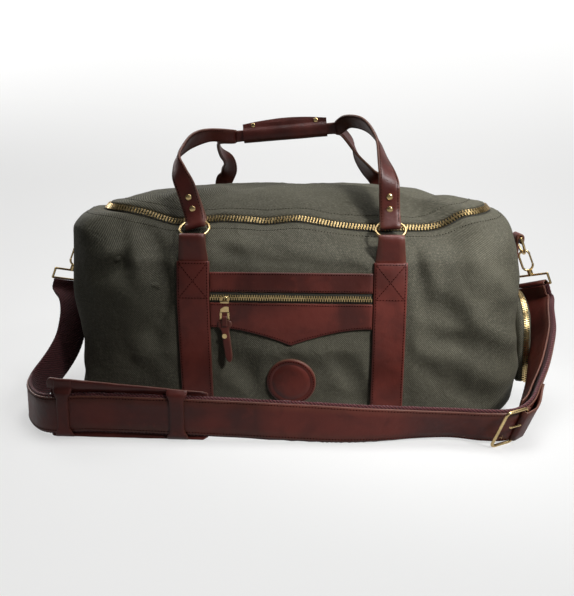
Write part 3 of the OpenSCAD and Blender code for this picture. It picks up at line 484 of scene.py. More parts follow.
def webbing_finish(colour):
    f = Finish("Webbing")
    u, v = f.yarns()
    rib = ((u + v) * (ROUND / RIB)).sine() * 0.5 + 0.5
    fuzz = f.cloud(f.coordinate("Object"), 700.0, 2.0)
    base = f.mix(rib, shade(colour, 0.45), shade(colour, 1.35))
    base = f.mix(fuzz.between(0.55, 0.8) * 0.4, base, shade(colour, 2.0))
    normal = f.bump(rib * 0.8 + fuzz * 0.2, 0.0012, 0.7)
    return f.done(Base_Color=base, Roughness=fuzz * 0.1 + 0.75, Normal=normal, Sheen_Weight=0.15)


def finishes():
    """The bag's materials, made once from the settings."""
    if "Waxed canvas" not in bpy.data.materials:
        scene = bpy.context.scene
        cloth, hide, metal = scene.weekender_cloth, scene.weekender_leather, scene.weekender_metal
        canvas_finish(tuple(cloth.canvas))
        leather_finish("Leather", tuple(hide.colour))
        leather_finish("Thread", shade(hide.colour, 0.85), 0.3)
        # Painted shade for the stitches' needle holes: the leather at 7 % of its colour, without shine
        leather_finish("Stitch hole", shade(hide.colour, 0.07), 0.0)
        brass_finish(tuple(metal.colour))
        plain_weave("Zip tape", tuple(cloth.tape), TAPE_WEAVE)
        plain_weave("Lining cloth", tuple(cloth.lining), LINING_WEAVE)
        webbing_finish(tuple(hide.webbing))
        leather_finish("Canvas thread", shade(cloth.canvas, 1.2), 0.3)
    return bpy.data.materials


# The bag's soft shape

# Height of the main zip above the floor: (x, height) along the front and (y, height) along the ends
ZIP_FRONT = [(-244, 262), (-212, 260), (-190, 256), (-168, 249.5), (-146, 243), (-119, 245), (-91, 248.5),
             (-57, 247), (-35, 244.5), (-12, 247), (5, 249), (31, 245), (53, 241), (76, 238.5), (103, 237),
             (138, 238), (165, 238), (184, 242), (195, 249), (206, 256), (244, 260)]
ZIP_END = [(-94, 260), (-60, 262), (-20, 262), (8, 257), (36, 247.5), (60, 244), (94, 243)]
ZIP_BACK, ZIP_STOP_Y = 243, 52
# Points round the bag's outline: half a corner, a long side and an end; and the columns of the front and back
CORNER_N, LONG_N, SHORT_N = 10, 110, 44
FRONT_COLUMNS, BACK_COLUMNS = slice(10, 121), slice(208, 319)


def ring(lean):
    """Outline of the bag drawn in by lean, from the front left corner round to it again."""
    a, b, r = HALF_L - lean, HALF_D - lean, CORNER_R - lean / 2
    cx, cy = a - r, b - r

    def arc(sx, sy, first):
        t = np.radians(first + 45 * np.arange(CORNER_N) / CORNER_N)
        return np.stack([sx * cx + r * np.cos(t), sy * cy + r * np.sin(t)], 1)

    def side(n):
        return -1 + 2 * np.arange(n) / n

    bow = END_BOW * max(0.0, 1 - lean / SHOULDER)
    t, s = side(LONG_N), side(SHORT_N)
    swell = bow * (1 + np.cos(np.pi * s)) / 2
    return np.concatenate([
        arc(-1, -1, 225), np.stack([t * cx, np.full(LONG_N, -b)], 1), arc(1, -1, 270),
        arc(1, -1, 315), np.stack([a + swell, s * cy], 1), arc(1, 1, 0),
        arc(1, 1, 45), np.stack([-t * cx, np.full(LONG_N, b)], 1), arc(-1, 1, 90),
        arc(-1, 1, 135), np.stack([-a - swell, -s * cy], 1), arc(-1, -1, 180)])


def zip_height(xy):
    """Height of the zip at points of its outline; it waves in front and rises over the ends."""
    x, y = xy[..., 0], xy[..., 1]
    fx, fz = np.array(ZIP_FRONT, float).T
    ex, ez = np.array(ZIP_END, float).T
    front, end = np.interp(x, fx, fz), np.interp(y, ex, ez)
    share = smoothstep(-92, -62, y)
    end = ZIP_BACK + (end - ZIP_BACK) * smoothstep(120, 235, np.abs(x))
    return front * (1 - share) + end * share


def zip_tilt(xy):
    """Slope of the zip's plane: steep in front, level from the middle of the ends to the back."""
    return math.radians(52) * (1 - smoothstep(-75, 30, xy[..., 1]))


def hem_gap(xy):
    """Room between a hem and the zip's middle: it closes behind the zip's ends."""
    return HEM * (1 - 0.97 * smoothstep(42, 60, xy[..., 1]))


def drawn_in(lean):
    """The bag's outline drawn in by its own amount at each column."""
    a, b, c = ring(0.0), ring(SHOULDER), ring(SHOULDER + 12.0)
    lean = np.asarray(lean, float)[:, None]
    return np.where(lean <= SHOULDER, a + (b - a) * lean / SHOULDER, b + (c - b) * (lean - SHOULDER) / 12.0)


def soften(values, times, wrap=False):
    """Evens out values along their last axis."""
    for _ in range(times):
        if wrap:
            values = (np.roll(values, 1, -1) + 2 * values + np.roll(values, -1, -1)) / 4
        else:
            inner = (values[..., :-2] + 2 * values[..., 1:-1] + values[..., 2:]) / 4
            values = np.concatenate([values[..., :1], inner, values[..., -1:]], -1)
    return values


# Main folds of the front: points (x, height), width, and height out of the cloth
FRONT_FOLDS = [
    ([(-216, 258), (-210, 228), (-203, 208), (-206, 194)], 9, -9.0),
    ([(-179, 238), (-164, 207), (-153, 176), (-151, 146), (-158, 132), (-172, 112)], 12, -11.0),
    ([(-236, 262), (-218, 237), (-214, 216)], 12, 4.0),
    ([(-196, 244), (-189, 207), (-181, 176)], 12, 6.0),
    ([(-144, 131), (-177, 104), (-192, 80)], 9, 5.0),
    ([(-212, 190), (-232, 186)], 13, -7.0),
    ([(-246, 204), (-226, 203), (-210, 216)], 6, 4.0),
    ([(-194, 160), (-190, 138)], 26, 7.0),
    ([(-236, 150), (-244, 110), (-234, 70)], 22, -5.0),
    ([(-206, 84), (-184, 60), (-178, 30)], 14, -4.0),
    ([(144, 216), (151, 190), (158, 165), (164, 146)], 11, -6.0),
    ([(158, 214), (167, 190), (176, 168)], 9, 4.5),
    ([(190, 214), (181, 176), (188, 140)], 14, -6.5),
    ([(204, 222), (224, 236), (248, 246)], 10, -5.0),
    ([(214, 210), (222, 180), (216, 150)], 12, 4.0),
    ([(240, 184), (256, 164)], 8, 4.5),
    ([(224, 158), (242, 146)], 11, -4.5),
    ([(219, 131), (243, 111), (264, 103)], 10, 5.5),
    ([(143, 112), (156, 92), (176, 84)], 10, 4.0),
    ([(166, 128), (190, 108), (214, 100)], 12, -4.0),
    ([(196, 84), (230, 66), (260, 52)], 13, 5.0),
    ([(176, 60), (204, 40), (236, 28)], 12, -4.0),
    ([(-60, 222), (-10, 216), (40, 208), (88, 204)], 12, 3.0),
    ([(-92, 212), (-40, 202), (20, 198)], 10, -2.4),
    ([(-90, 80), (-50, 52), (-40, 24)], 13, -4.0),
    ([(-70, 96), (-20, 88), (40, 86), (90, 96)], 12, 2.6),
    ([(60, 70), (84, 44), (90, 20)], 14, -4.0),
]


def near_line(x, z, line):
    """Distance from each place to a line of points."""
    best = np.full(np.shape(x), 1e9)
    pts = np.array(line, float)
    for a, b in zip(pts[:-1], pts[1:]):
        d = b - a
        t = np.clip(((x - a[0]) * d[0] + (z - a[1]) * d[1]) / (d @ d), 0, 1)
        best = np.minimum(best, np.hypot(x - a[0] - t * d[0], z - a[1] - t * d[1]))
    return best


def held_flat(x, z):
    """How firmly the sewn leather holds the front or back flat, from 0 to 1."""
    strap = 1 - smoothstep(STRAP_W / 2, STRAP_W / 2 + 14, np.abs(np.abs(x) - STRAP_X))
    pocket = (1 - smoothstep(95, 118, np.abs(x))) * smoothstep(88, 112, z) * (1 - smoothstep(186, 202, z))
    patch = 1 - smoothstep(28, 44, np.hypot(x, z - 48))
    return np.maximum(np.maximum(strap * 0.9, pocket * 0.8), patch * 0.85)


class Shell:
    """The canvas body as a grid of rows from foot to hem and columns round the bag."""

    # Rounded foot: (height, how far drawn in); then the rows' spacing up the wall, and how many rows
    # from the foot up stay as drawn when the shoulder is evened out
    FOOT = [(1.0, 14.0), (2.2, 10.2), (4.6, 6.6), (8.0, 3.6), (12.0, 1.4), (16.0, 0.3)]
    ROW, WALL_ROWS = 3.4, 40
    # Spacing of the depth tables in x and height
    TABLE_X, TABLE_Z = 2.0, 1.5

    def __init__(self, depth):
        walls = [(z, 0.0) for z in np.arange(20.0, SHOULDER_Z, self.ROW)]
        outline0, edge = ring(0.0), ring(SHOULDER)
        x0 = outline0[:, 0]
        tilt = zip_tilt(edge)
        reach = SHOULDER - hem_gap(edge) * np.cos(tilt)
        top = soften(zip_height(edge), 6, wrap=True) - HEM * np.sin(tilt) - 0.4
        end = smoothstep(HALF_L - 66, HALF_L - 8, np.abs(x0))
        square = 1.2 + end * np.where(x0 < 0, 3.4, 0.9)
        rows = [np.column_stack([ring(lean), np.full(len(x0), z)]) for z, lean in self.FOOT + walls]
        for a in np.radians(np.linspace(3.0, 90.0, 24)):
            across, high = 1 - np.cos(a) ** (2 / square), np.sin(a) ** (2 / square)
            rows.append(np.column_stack([drawn_in(reach * across), SHOULDER_Z + (top - SHOULDER_Z) * high]))
        self.top = top
        self.base = np.array(rows)
        for _ in range(16):
            calm = (self.base[:-2] + 2 * self.base[1:-1] + self.base[2:]) / 4
            self.base[self.WALL_ROWS:-4] = calm[self.WALL_ROWS - 1:-3]
        step = np.roll(outline0, -1, 0) - np.roll(outline0, 1, 0)
        self.out = unit(np.column_stack([step[:, 1], -step[:, 0], np.zeros(len(x0))]))
        self.grid = self.base + self.out[None] * self.folds(depth)[..., None]
        self.grid[..., 2] = np.maximum(self.grid[..., 2], 0.6)
        self.front, self.back = self.grid[:, FRONT_COLUMNS], self.grid[:, BACK_COLUMNS][:, ::-1]
        self.tables = {}

    def folds(self, depth):
        """How far the canvas stands out at each point of the grid."""
        g = self.base
        x, y, z = g[..., 0], g[..., 1], g[..., 2]
        tall = g * np.array([1.0, 1.0, 0.6])
        d = 3.6 * field(tall, 95.0, 3.1, 2) + 2.0 * field(tall, 42.0, 11.7, 3) + 0.7 * field(g, 17.0, 5.3, 3)
        warp = tall + 14.0 * np.stack([field(g, 60.0, seed, 2) for seed in (1.3, 4.9, 9.6)], -1)
        for size, seed, high in ((78.0, 8.2, 3.4), (46.0, 2.9, 2.0)):
            crease = 1 - np.abs(field(warp * np.array([1, 1, 1.3]), size, seed, 1)) * 3.0
            d += high * np.clip(crease, 0, 1) ** 2
        face = np.where(y < 0, 1.0, 0.0) * smoothstep(60, 110, np.abs(y))
        hand = np.zeros_like(d)
        for line, width, height in FRONT_FOLDS:
            hand += height * np.exp(-(near_line(x, z, line) / width) ** 2)
        d += hand * np.clip(face + 0.25 * smoothstep(200, 262, np.abs(x)), 0, 1)
        d = soften(soften(d, 3, wrap=True).T, 3).T
        sunk = -4.0 * np.exp(-((z - 95) / 55) ** 2) + 5.0 * np.exp(-((z - 18) / 22) ** 2)
        d += sunk * smoothstep(HALF_L - 40, HALF_L, np.abs(x)) * np.where(x < 0, 1.0, 0.35)
        d += 9.0 * np.exp(-((z - 58) / 46) ** 2) * smoothstep(225, 270, x) * smoothstep(30, -50, y)
        d *= 1 - held_flat(x, z) * smoothstep(70, 100, np.abs(y))
        belly = 7.0 * np.exp(-((z - 148) / 60) ** 2) - 8.0 * np.exp(-(z / 50) ** 2)
        d += belly * smoothstep(60, 110, np.abs(y))
        quiet = smoothstep(0.5, 20, z) * smoothstep(-1.0, 24.0, self.top[None] - z)
        tab = 1 - smoothstep(18, 44, np.abs(y))
        quiet = quiet * (1 - tab * smoothstep(HALF_L - 30, HALF_L, np.abs(x)) * smoothstep(120, 150, z))
        return d * quiet * depth

    def wall(self, side):
        """Depth of the front (-1) or back (1) wall as a table over x and height."""
        if side not in self.tables:
            g = self.front if side < 0 else self.back
            xs, zs = np.arange(-228.0, 228.1, self.TABLE_X), np.arange(1.0, 240.1, self.TABLE_Z)
            ys = np.array([np.interp(xs, row[:, 0], row[:, 1]) for row in g])
            hs = np.array([np.interp(xs, row[:, 0], row[:, 2]) for row in g])
            table = np.array([np.interp(zs, hs[:, i], ys[:, i]) for i in range(len(xs))])
            self.tables[side] = (xs, zs, table)
        return self.tables[side]

    def depth_at(self, side, x, z):
        xs, zs, table = self.wall(side)
        i = np.clip((np.asarray(x, float) - xs[0]) / self.TABLE_X, 0, len(xs) - 1.001)
        j = np.clip((np.asarray(z, float) - zs[0]) / self.TABLE_Z, 0, len(zs) - 1.001)
        i0, j0 = i.astype(int), j.astype(int)
        a, b = i - i0, j - j0
        return ((table[i0, j0] * (1 - a) + table[i0 + 1, j0] * a) * (1 - b)
                + (table[i0, j0 + 1] * (1 - a) + table[i0 + 1, j0 + 1] * a) * b)

    def on(self, side, x, z, height):
        """Points lying height above the front or back wall, and the wall's normals there."""
        x, z = np.broadcast_arrays(np.asarray(x, float), np.asarray(z, float))
        y, e = self.depth_at(side, x, z), 4.0
        dx = (self.depth_at(side, x + e, z) - self.depth_at(side, x - e, z)) / (2 * e)
        dz = (self.depth_at(side, x, z + e) - self.depth_at(side, x, z - e)) / (2 * e)
        n = unit(np.stack([-dx, np.ones_like(dx), -dz], -1)) * side
        return np.stack([x, y, z], -1) + n * np.asarray(height, float)[..., None], n


shell_store = {}


def shell():
    if "bag" not in shell_store:
        shell_store["bag"] = Shell(bpy.context.scene.weekender_cloth.folds)
    return shell_store["bag"]


def zip_line():
    """Middle of the main zip from the left end round the front to the right end, with its outward ways."""
    def nearest(points, x):
        return int(np.argmin(np.abs(points[:, 0] - x) + np.abs(points[:, 1] - ZIP_STOP_Y)))

    full, end = ring(SHOULDER), HALF_L - SHOULDER
    full = np.roll(full, -nearest(full, -end), 0)
    flat = spaced(full[:nearest(full, end) + 1], 2.0)
    way = np.gradient(flat, axis=0)
    out = unit(np.column_stack([way[:, 1], -way[:, 0], np.zeros(len(flat))]))
    return np.column_stack([flat, soften(zip_height(flat), 10)]), out


def edge_places(n, inset, length):
    """n places from 0 to 1 with two more close to each end, for a rounded rim."""
    k = inset / length
    return np.concatenate([[0, k * 0.35, k], np.linspace(k, 1 - k, n)[1:-1], [1 - k, 1 - k * 0.35, 1]])


def rim_heights(u, v, low, high):
    """Height over a plate that is rounded down along its rim, and how much of a rim each place is."""
    def one(n):
        h = np.ones(n)
        h[[0, -1]], h[[1, -2]] = 0.0, 0.75
        return h
    h = np.minimum.outer(one(len(v)), one(len(u)))
    return low + (high - low) * h, (h < 0.5).astype(float)


def sewn_plate(form, side, at, nu, nv, width, height, low, high):
    """Plate sewn on the front or back; at(u, v) gives x and height for u and v from 0 to 1."""
    u, v = edge_places(nu, 1.2, width), edge_places(nv, 1.2, height)
    uu, vv = np.meshgrid(u, v)
    x, z = at(uu, vv)
    h, rim = rim_heights(u, v, low, high)
    top, _ = shell().on(side, x, z, h)
    under, _ = shell().on(side, x, z, np.full_like(h, -1.0))
    form.plate(top, under, rim)


def sewn_line(side, points, height):
    """Line of (x, height) points laid on the front or back, with the wall's normals."""
    p = spaced(np.asarray(points, float), 3.0)
    return shell().on(side, p[:, 0], p[:, 1], np.full(len(p), height))


# Section of a strap: (across, through), each from -1 to 1, and how much of a cut edge each point is
RIBBON_SECTION = [(-1, -0.45), (-1, 0.45), (-1, 1), (-0.5, 1), (0, 1), (0.5, 1), (1, 1),
                  (1, 0.45), (1, -0.45), (1, -1), (0.5, -1), (0, -1), (-0.5, -1), (-1, -1)]
RIBBON_RIM = [1, 1, 0.4, 0, 0, 0, 0.4, 1, 1, 0.4, 0, 0, 0, 0.4]


def ribbon_rings(line, ways, widths, low, high, edge):
    """Rings of a flat strap swept along a line: ways are its width directions; low and high are its faces."""
    t = unit(np.gradient(line, axis=0))
    w = unit(ways - (ways * t).sum(1)[:, None] * t)
    n = np.cross(t, w)
    mid, half = (low + high) / 2, (high - low) / 2
    rings = []
    for a, b in RIBBON_SECTION:
        inset = edge if abs(b) == 1 and abs(a) == 1 else 0.0
        reach = np.sign(a) * (widths / 2 * abs(a) - inset)
        rings.append(line + w * reach[:, None] + n * (mid + half * b))
    return np.stack(rings, 1), w, n


def ribbon(form, line, ways, widths, low, high, edge):
    """Strap along a line; ways may be one direction for the whole line. Gives its width ways and normals."""
    ways = np.broadcast_to(np.asarray(ways, float), (len(line), 3))
    widths = np.broadcast_to(np.asarray(widths, float), (len(line),))
    rings, w, n = ribbon_rings(line, ways, widths, low, high, edge)
    form.tube(rings, np.tile(RIBBON_RIM, (len(line), 1)))
    return w, n


def dome(seat, r, height, profile, count):
    """Rings of a round head that stands out towards the front."""
    turn = np.radians(np.arange(count) * 360 / count)
    return np.array([[seat + [r * k * math.cos(a), -h * height, r * k * math.sin(a)] for a in turn]
                     for k, h in profile])


def wire(form, path, normal, radius, sides=10):
    """Round wire along a closed flat path."""
    t = unit(np.roll(path, -1, 0) - np.roll(path, 1, 0))
    up = unit(normal)
    side = np.cross(t, up)
    rings = np.stack([path + radius * (math.cos(a) * up + math.sin(a) * side)
                      for a in np.arange(sides) * 2 * math.pi / sides], 1)
    index = form.grid(rings, wrap=True)
    form.band(index[-1], index[0], closed=True)


def edge_lines(line, w, n, widths, height, inset=2.6, span=slice(None)):
    """Stitch lines along both edges of a ribbon's face."""
    widths = np.broadcast_to(np.asarray(widths, float), (len(line),))[:, None]
    return [((line + s * w * (widths / 2 - inset) + n * height)[span], (n * np.sign(height))[span])
            for s in (-1, 1)]


def front_order(line, back):
    """Columns in front of the given depth, in order from left to right round the front."""
    front = [i for i in range(len(line)) if line[i, 1] < back]
    return sorted(front, key=lambda i: math.atan2(line[i, 0], -line[i, 1] + 60))


def paint(node, finish):
    """Gives a frame node that stays in view its finish."""
    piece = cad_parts[node]
    piece.data.materials.clear()
    piece.data.materials.append(finishes()[finish])


# Settings

def colour_setting(name, description, default):
    return FloatVectorProperty(name=name, description=description, subtype="COLOR", size=3, min=0, max=1,
                               default=default)


def length_setting(name, description, default, low, high):
    return FloatProperty(name=name, description=description, default=default, min=low, max=high,
                         unit="LENGTH")


class ClothSettings(bpy.types.PropertyGroup):
    canvas: colour_setting("Canvas", "Colour of the waxed canvas", (0.088, 0.083, 0.060))
    tape: colour_setting("Zip tape", "Colour of the zip tapes", (0.030, 0.029, 0.022))
    lining: colour_setting("Lining", "Colour of the lining", (0.16, 0.13, 0.09))
    folds: FloatProperty(name="Folds", description="Depth of the canvas folds, as a share of the worn look",
                         default=1.0, min=0, max=1.5, subtype="FACTOR")


class LeatherSettings(bpy.types.PropertyGroup):
    colour: colour_setting("Leather", "Colour of the leather", (0.098, 0.0175, 0.0120))
    webbing: colour_setting("Webbing", "Colour of the strap's webbing", (0.085, 0.013, 0.016))


class MetalSettings(bpy.types.PropertyGroup):
    colour: colour_setting("Brass", "Colour of the brass fittings", (0.78, 0.58, 0.28))
    main_pitch: length_setting("Main zip pitch", "Distance between the main zip's teeth",
                               0.0037, 0.002, 0.006)
    pocket_pitch: length_setting("Pocket zip pitch", "Distance between the pocket zips' teeth",
                                 0.0029, 0.002, 0.006)


class StageSettings(bpy.types.PropertyGroup):
    floor: colour_setting("Floor", "Colour of the floor and backdrop", (0.86, 0.86, 0.855))
    lens: FloatProperty(name="Lens", description="Focal length of the camera in millimetres", default=43.0,
                        min=20, max=120)
    distance: length_setting("Distance", "Camera's distance in plan", 0.98, 0.3, 5)


# Operators

class StageOperator(bpy.types.Operator):
    """Sets the camera, the lights and a pale floor"""
    bl_idname = "weekender.stage"
    bl_label = "Stage"

    # Camera: its sensor, nearest sight and height; how far it stands round the bag, looks down and is turned
    SENSOR, NEAR, EYE = 36.0, 0.05, 0.330
    AROUND, DOWN, TURN = math.radians(3.0), math.radians(11.6), math.radians(3.8)
    # Backdrop: half its width, its back wall, the radius of its bend and its height, in millimetres
    REACH, BACK, BEND, TOP = 3000.0, 1500.0, 700.0, 3200.0
    # Area lamps: name, place, what it points at, size, power; then the window's place, aim and power
    LAMPS = (("Ceiling", (0.35, 0.15, 1.9), (0.1, 0.05, 0.0), 1.2, 22.0),
             ("Back fill", (-1.3, 1.2, 1.2), (-0.1, 0.05, 0.15), 1.0, 15.0),
             ("Wall wash", (0.6, 0.4, 2.4), (0, 1.5, 0.6), 1.6, 14.0))
    WINDOW = (0.95, -0.95, 1.1), (0.2, -0.14, 0.19), 175.0

    def execute(self, context):
        scene, settings = context.scene, context.scene.weekender_stage
        camera = bpy.data.objects.new("Camera", bpy.data.cameras.new("Camera"))
        camera.data.lens, camera.data.sensor_width = settings.lens, self.SENSOR
        camera.data.clip_start = self.NEAR
        far = settings.distance
        camera.location = (far * math.sin(self.AROUND), -far * math.cos(self.AROUND), self.EYE)
        camera.rotation_euler = (math.pi / 2 - self.DOWN, 0, self.TURN)
        scene.collection.objects.link(camera)
        scene.camera = camera
        scene.view_settings.view_transform = "Standard"
        self.backdrop(scene, tuple(settings.floor))
        self.lights(scene)
        return {"FINISHED"}

    def backdrop(self, scene, colour):
        """Floor and wall in one sheet; they glow only for what looks straight at them or mirrors them, and
        the glow holds painted shade: dimmer low down and dimmest low on the left.
        """
        f = Finish("Pale backdrop")
        rays = f.node("ShaderNodeLightPath")
        seen = f.value(rays, "Is Camera Ray")
        seen = seen + f.value(rays, "Is Glossy Ray") * 0.6 + f.value(rays, "Is Transmission Ray")
        place = f.node("ShaderNodeSeparateXYZ", {0: f.coordinate("Object")})
        # Painted shade: the glow is the full floor colour above 0.85 m, two thirds of it below 0.2 m, and
        # half of it there on the far left
        high, left = f.value(place, 2).between(0.2, 0.85), 1 - f.value(place, 0).between(-1.3, 0.2)
        low_painted_shade = f.mix(left, shade(colour, 0.66), shade(colour, 0.50))
        glow_and_painted_shade = f.mix(high, low_painted_shade, shade(colour, 1.0))
        f.done(Base_Color=f.mix(seen, shade(colour, 0.15), shade(colour, 0.42)), Roughness=0.9,
               Specular_IOR_Level=0.0, Emission_Color=f.mix(seen, (0.0, 0.0, 0.0), glow_and_painted_shade),
               Emission_Strength=1.0)
        bend = [(self.BACK - self.BEND + self.BEND * math.sin(a), self.BEND - self.BEND * math.cos(a))
                for a in np.radians(np.linspace(0, 90, 16))]
        form = Form()
        form.grid([[(sx * self.REACH, y, z) for sx in (-1, 1)]
                   for y, z in [(-self.REACH, 0.0)] + bend + [(self.BACK, self.TOP)]], flip=True)
        floor = bpy.data.objects.new("Backdrop", form.mesh("Backdrop", f.material, outward=False))
        scene.collection.objects.link(floor)

    def lights(self, scene):
        world = bpy.data.worlds.new("Studio")
        scene.world = world
        world.use_nodes = True
        nodes, links = world.node_tree.nodes, world.node_tree.links
        shine, seen = nodes["Background"], nodes.new("ShaderNodeBackground")
        for node, colour, strength in ((shine, (0.97, 0.985, 1.0, 1), 0.08),
                                       (seen, (0.9, 0.9, 0.895, 1), 1.0)):
            node.inputs["Color"].default_value = colour
            node.inputs["Strength"].default_value = strength
        rays, mix = nodes.new("ShaderNodeLightPath"), nodes.new("ShaderNodeMixShader")
        for entry, output in enumerate((rays.outputs["Is Camera Ray"], shine.outputs[0], seen.outputs[0])):
            links.new(output, mix.inputs[entry])
        links.new(mix.outputs[0], nodes["World Output"].inputs["Surface"])
        for name, place, aim, size, power in self.LAMPS:
            self.lamp(scene, name, "AREA", place, aim, power).size = size
        key = self.lamp(scene, "Window", "SPOT", *self.WINDOW)
        key.spot_size, key.spot_blend, key.shadow_soft_size = math.radians(22), 1.0, 0.2

    def lamp(self, scene, name, kind, place, aim, power):
        lamp = bpy.data.objects.new(name, bpy.data.lights.new(name, kind))
        lamp.data.energy = power
        lamp.location = place
        lamp.rotation_euler = (Vector(aim) - Vector(place)).to_track_quat("-Z", "Y").to_euler()
        lamp.visible_camera = False
        scene.collection.objects.link(lamp)
        return lamp.data


# Shoulder strap: the hooks' lean and their loops' turn, the widths, the right end, and the lower and
# upper faces of its layers
HOOK_LEAN, LOOP_TURN = math.radians(22), math.radians(-49.5)
SLING_W, FACING_W, FOLD_W = 48.0, 43.0, 44.0
SLING_END = (326.25, 0.0, 150.25)
WEBBING_FACES, FACING_FACES, RETURN_FACES = (0.3, 3.6), (-2.2, 0.1), (7.2, 9.4)
# The strap lies double from the right hook to the buckle, for this many points of its line
DOUBLE = 88
HOOKS = ("left_hook", "right_hook", "left_gate", "right_gate", "buckle_prong")
# Buckle: the middle of its bar, the way it points and the way the bar leans; then its corner, half
# width, length and wire
BUCKLE_BAR = np.array([264.89, -196.36, 25.0])
BUCKLE_WAY = np.array([-0.8202, -0.5721, 0.0])
BUCKLE_LEAN = np.array([0.24, -0.344, 0.907])
BUCKLE_CORNER, BUCKLE_HALF, BUCKLE_L, BUCKLE_WIRE = 6.0, 26.0, 33.0, 1.75


def sling_route():
    """Points of the strap with its width directions, from the right hook round the front to the left hook."""
    c, s = math.cos(LOOP_TURN), math.sin(LOOP_TURN)
    right = np.array(SLING_END)
    left = right * (-1.0, 1.0, 1.0)

    def bar(sx):
        return (sx * c * math.cos(HOOK_LEAN), s, c * math.sin(HOOK_LEAN))
    upright = (0, 0, 1)
    return [
        (right, bar(1)), (right + (5.33, -4, -20), bar(1)),
        ((331, -24, 115), (0.46, -0.83, 0.32)), ((329, -50, 96), (0.34, -0.83, 0.44)),
        ((320, -82, 76), (0.26, -0.76, 0.6)), ((309, -112, 58), (0.2, -0.64, 0.74)),
        ((294, -144, 43), (0.17, -0.52, 0.84)), ((278, -176, 31), (0.15, -0.42, 0.9)),
        ((256, -196, 24), (0.12, -0.36, 0.93)), ((226, -199, 23), (0.04, -0.4, 0.92)),
        ((190, -194, 23), (0, -0.45, 0.89)), ((150, -196, 23), (0, -0.38, 0.92)),
        ((100, -204, 24), (0, -0.2, 0.98)), ((60, -207, 25), (0, -0.06, 1)),
        ((20, -207, 26), upright), ((-90, -207, 29), upright), ((-215, -207, 31), upright),
        ((-250, -207, 30), upright), ((-274, -207, 28), upright), ((-297, -195, 26), upright),
        ((-316, -172, 25), upright), ((-329, -148, 25), (0.01, -0.02, 1)),
        ((-335, -124, 26), (-0.03, -0.16, 0.99)), ((-334, -104, 32), (-0.12, -0.38, 0.92)),
        ((-327, -86, 43), (-0.23, -0.51, 0.83)), ((-319, -70, 57), (-0.32, -0.58, 0.75)),
        ((-313, -55, 73), (-0.39, -0.65, 0.65)), ((-311, -42, 90), (-0.44, -0.71, 0.55)),
        ((-312, -29, 107), (-0.47, -0.74, 0.48)), ((-317, -17, 123), (-0.5, -0.78, 0.36)),
        (left + (-2, -3, -14), bar(-1)), (left, bar(-1))]


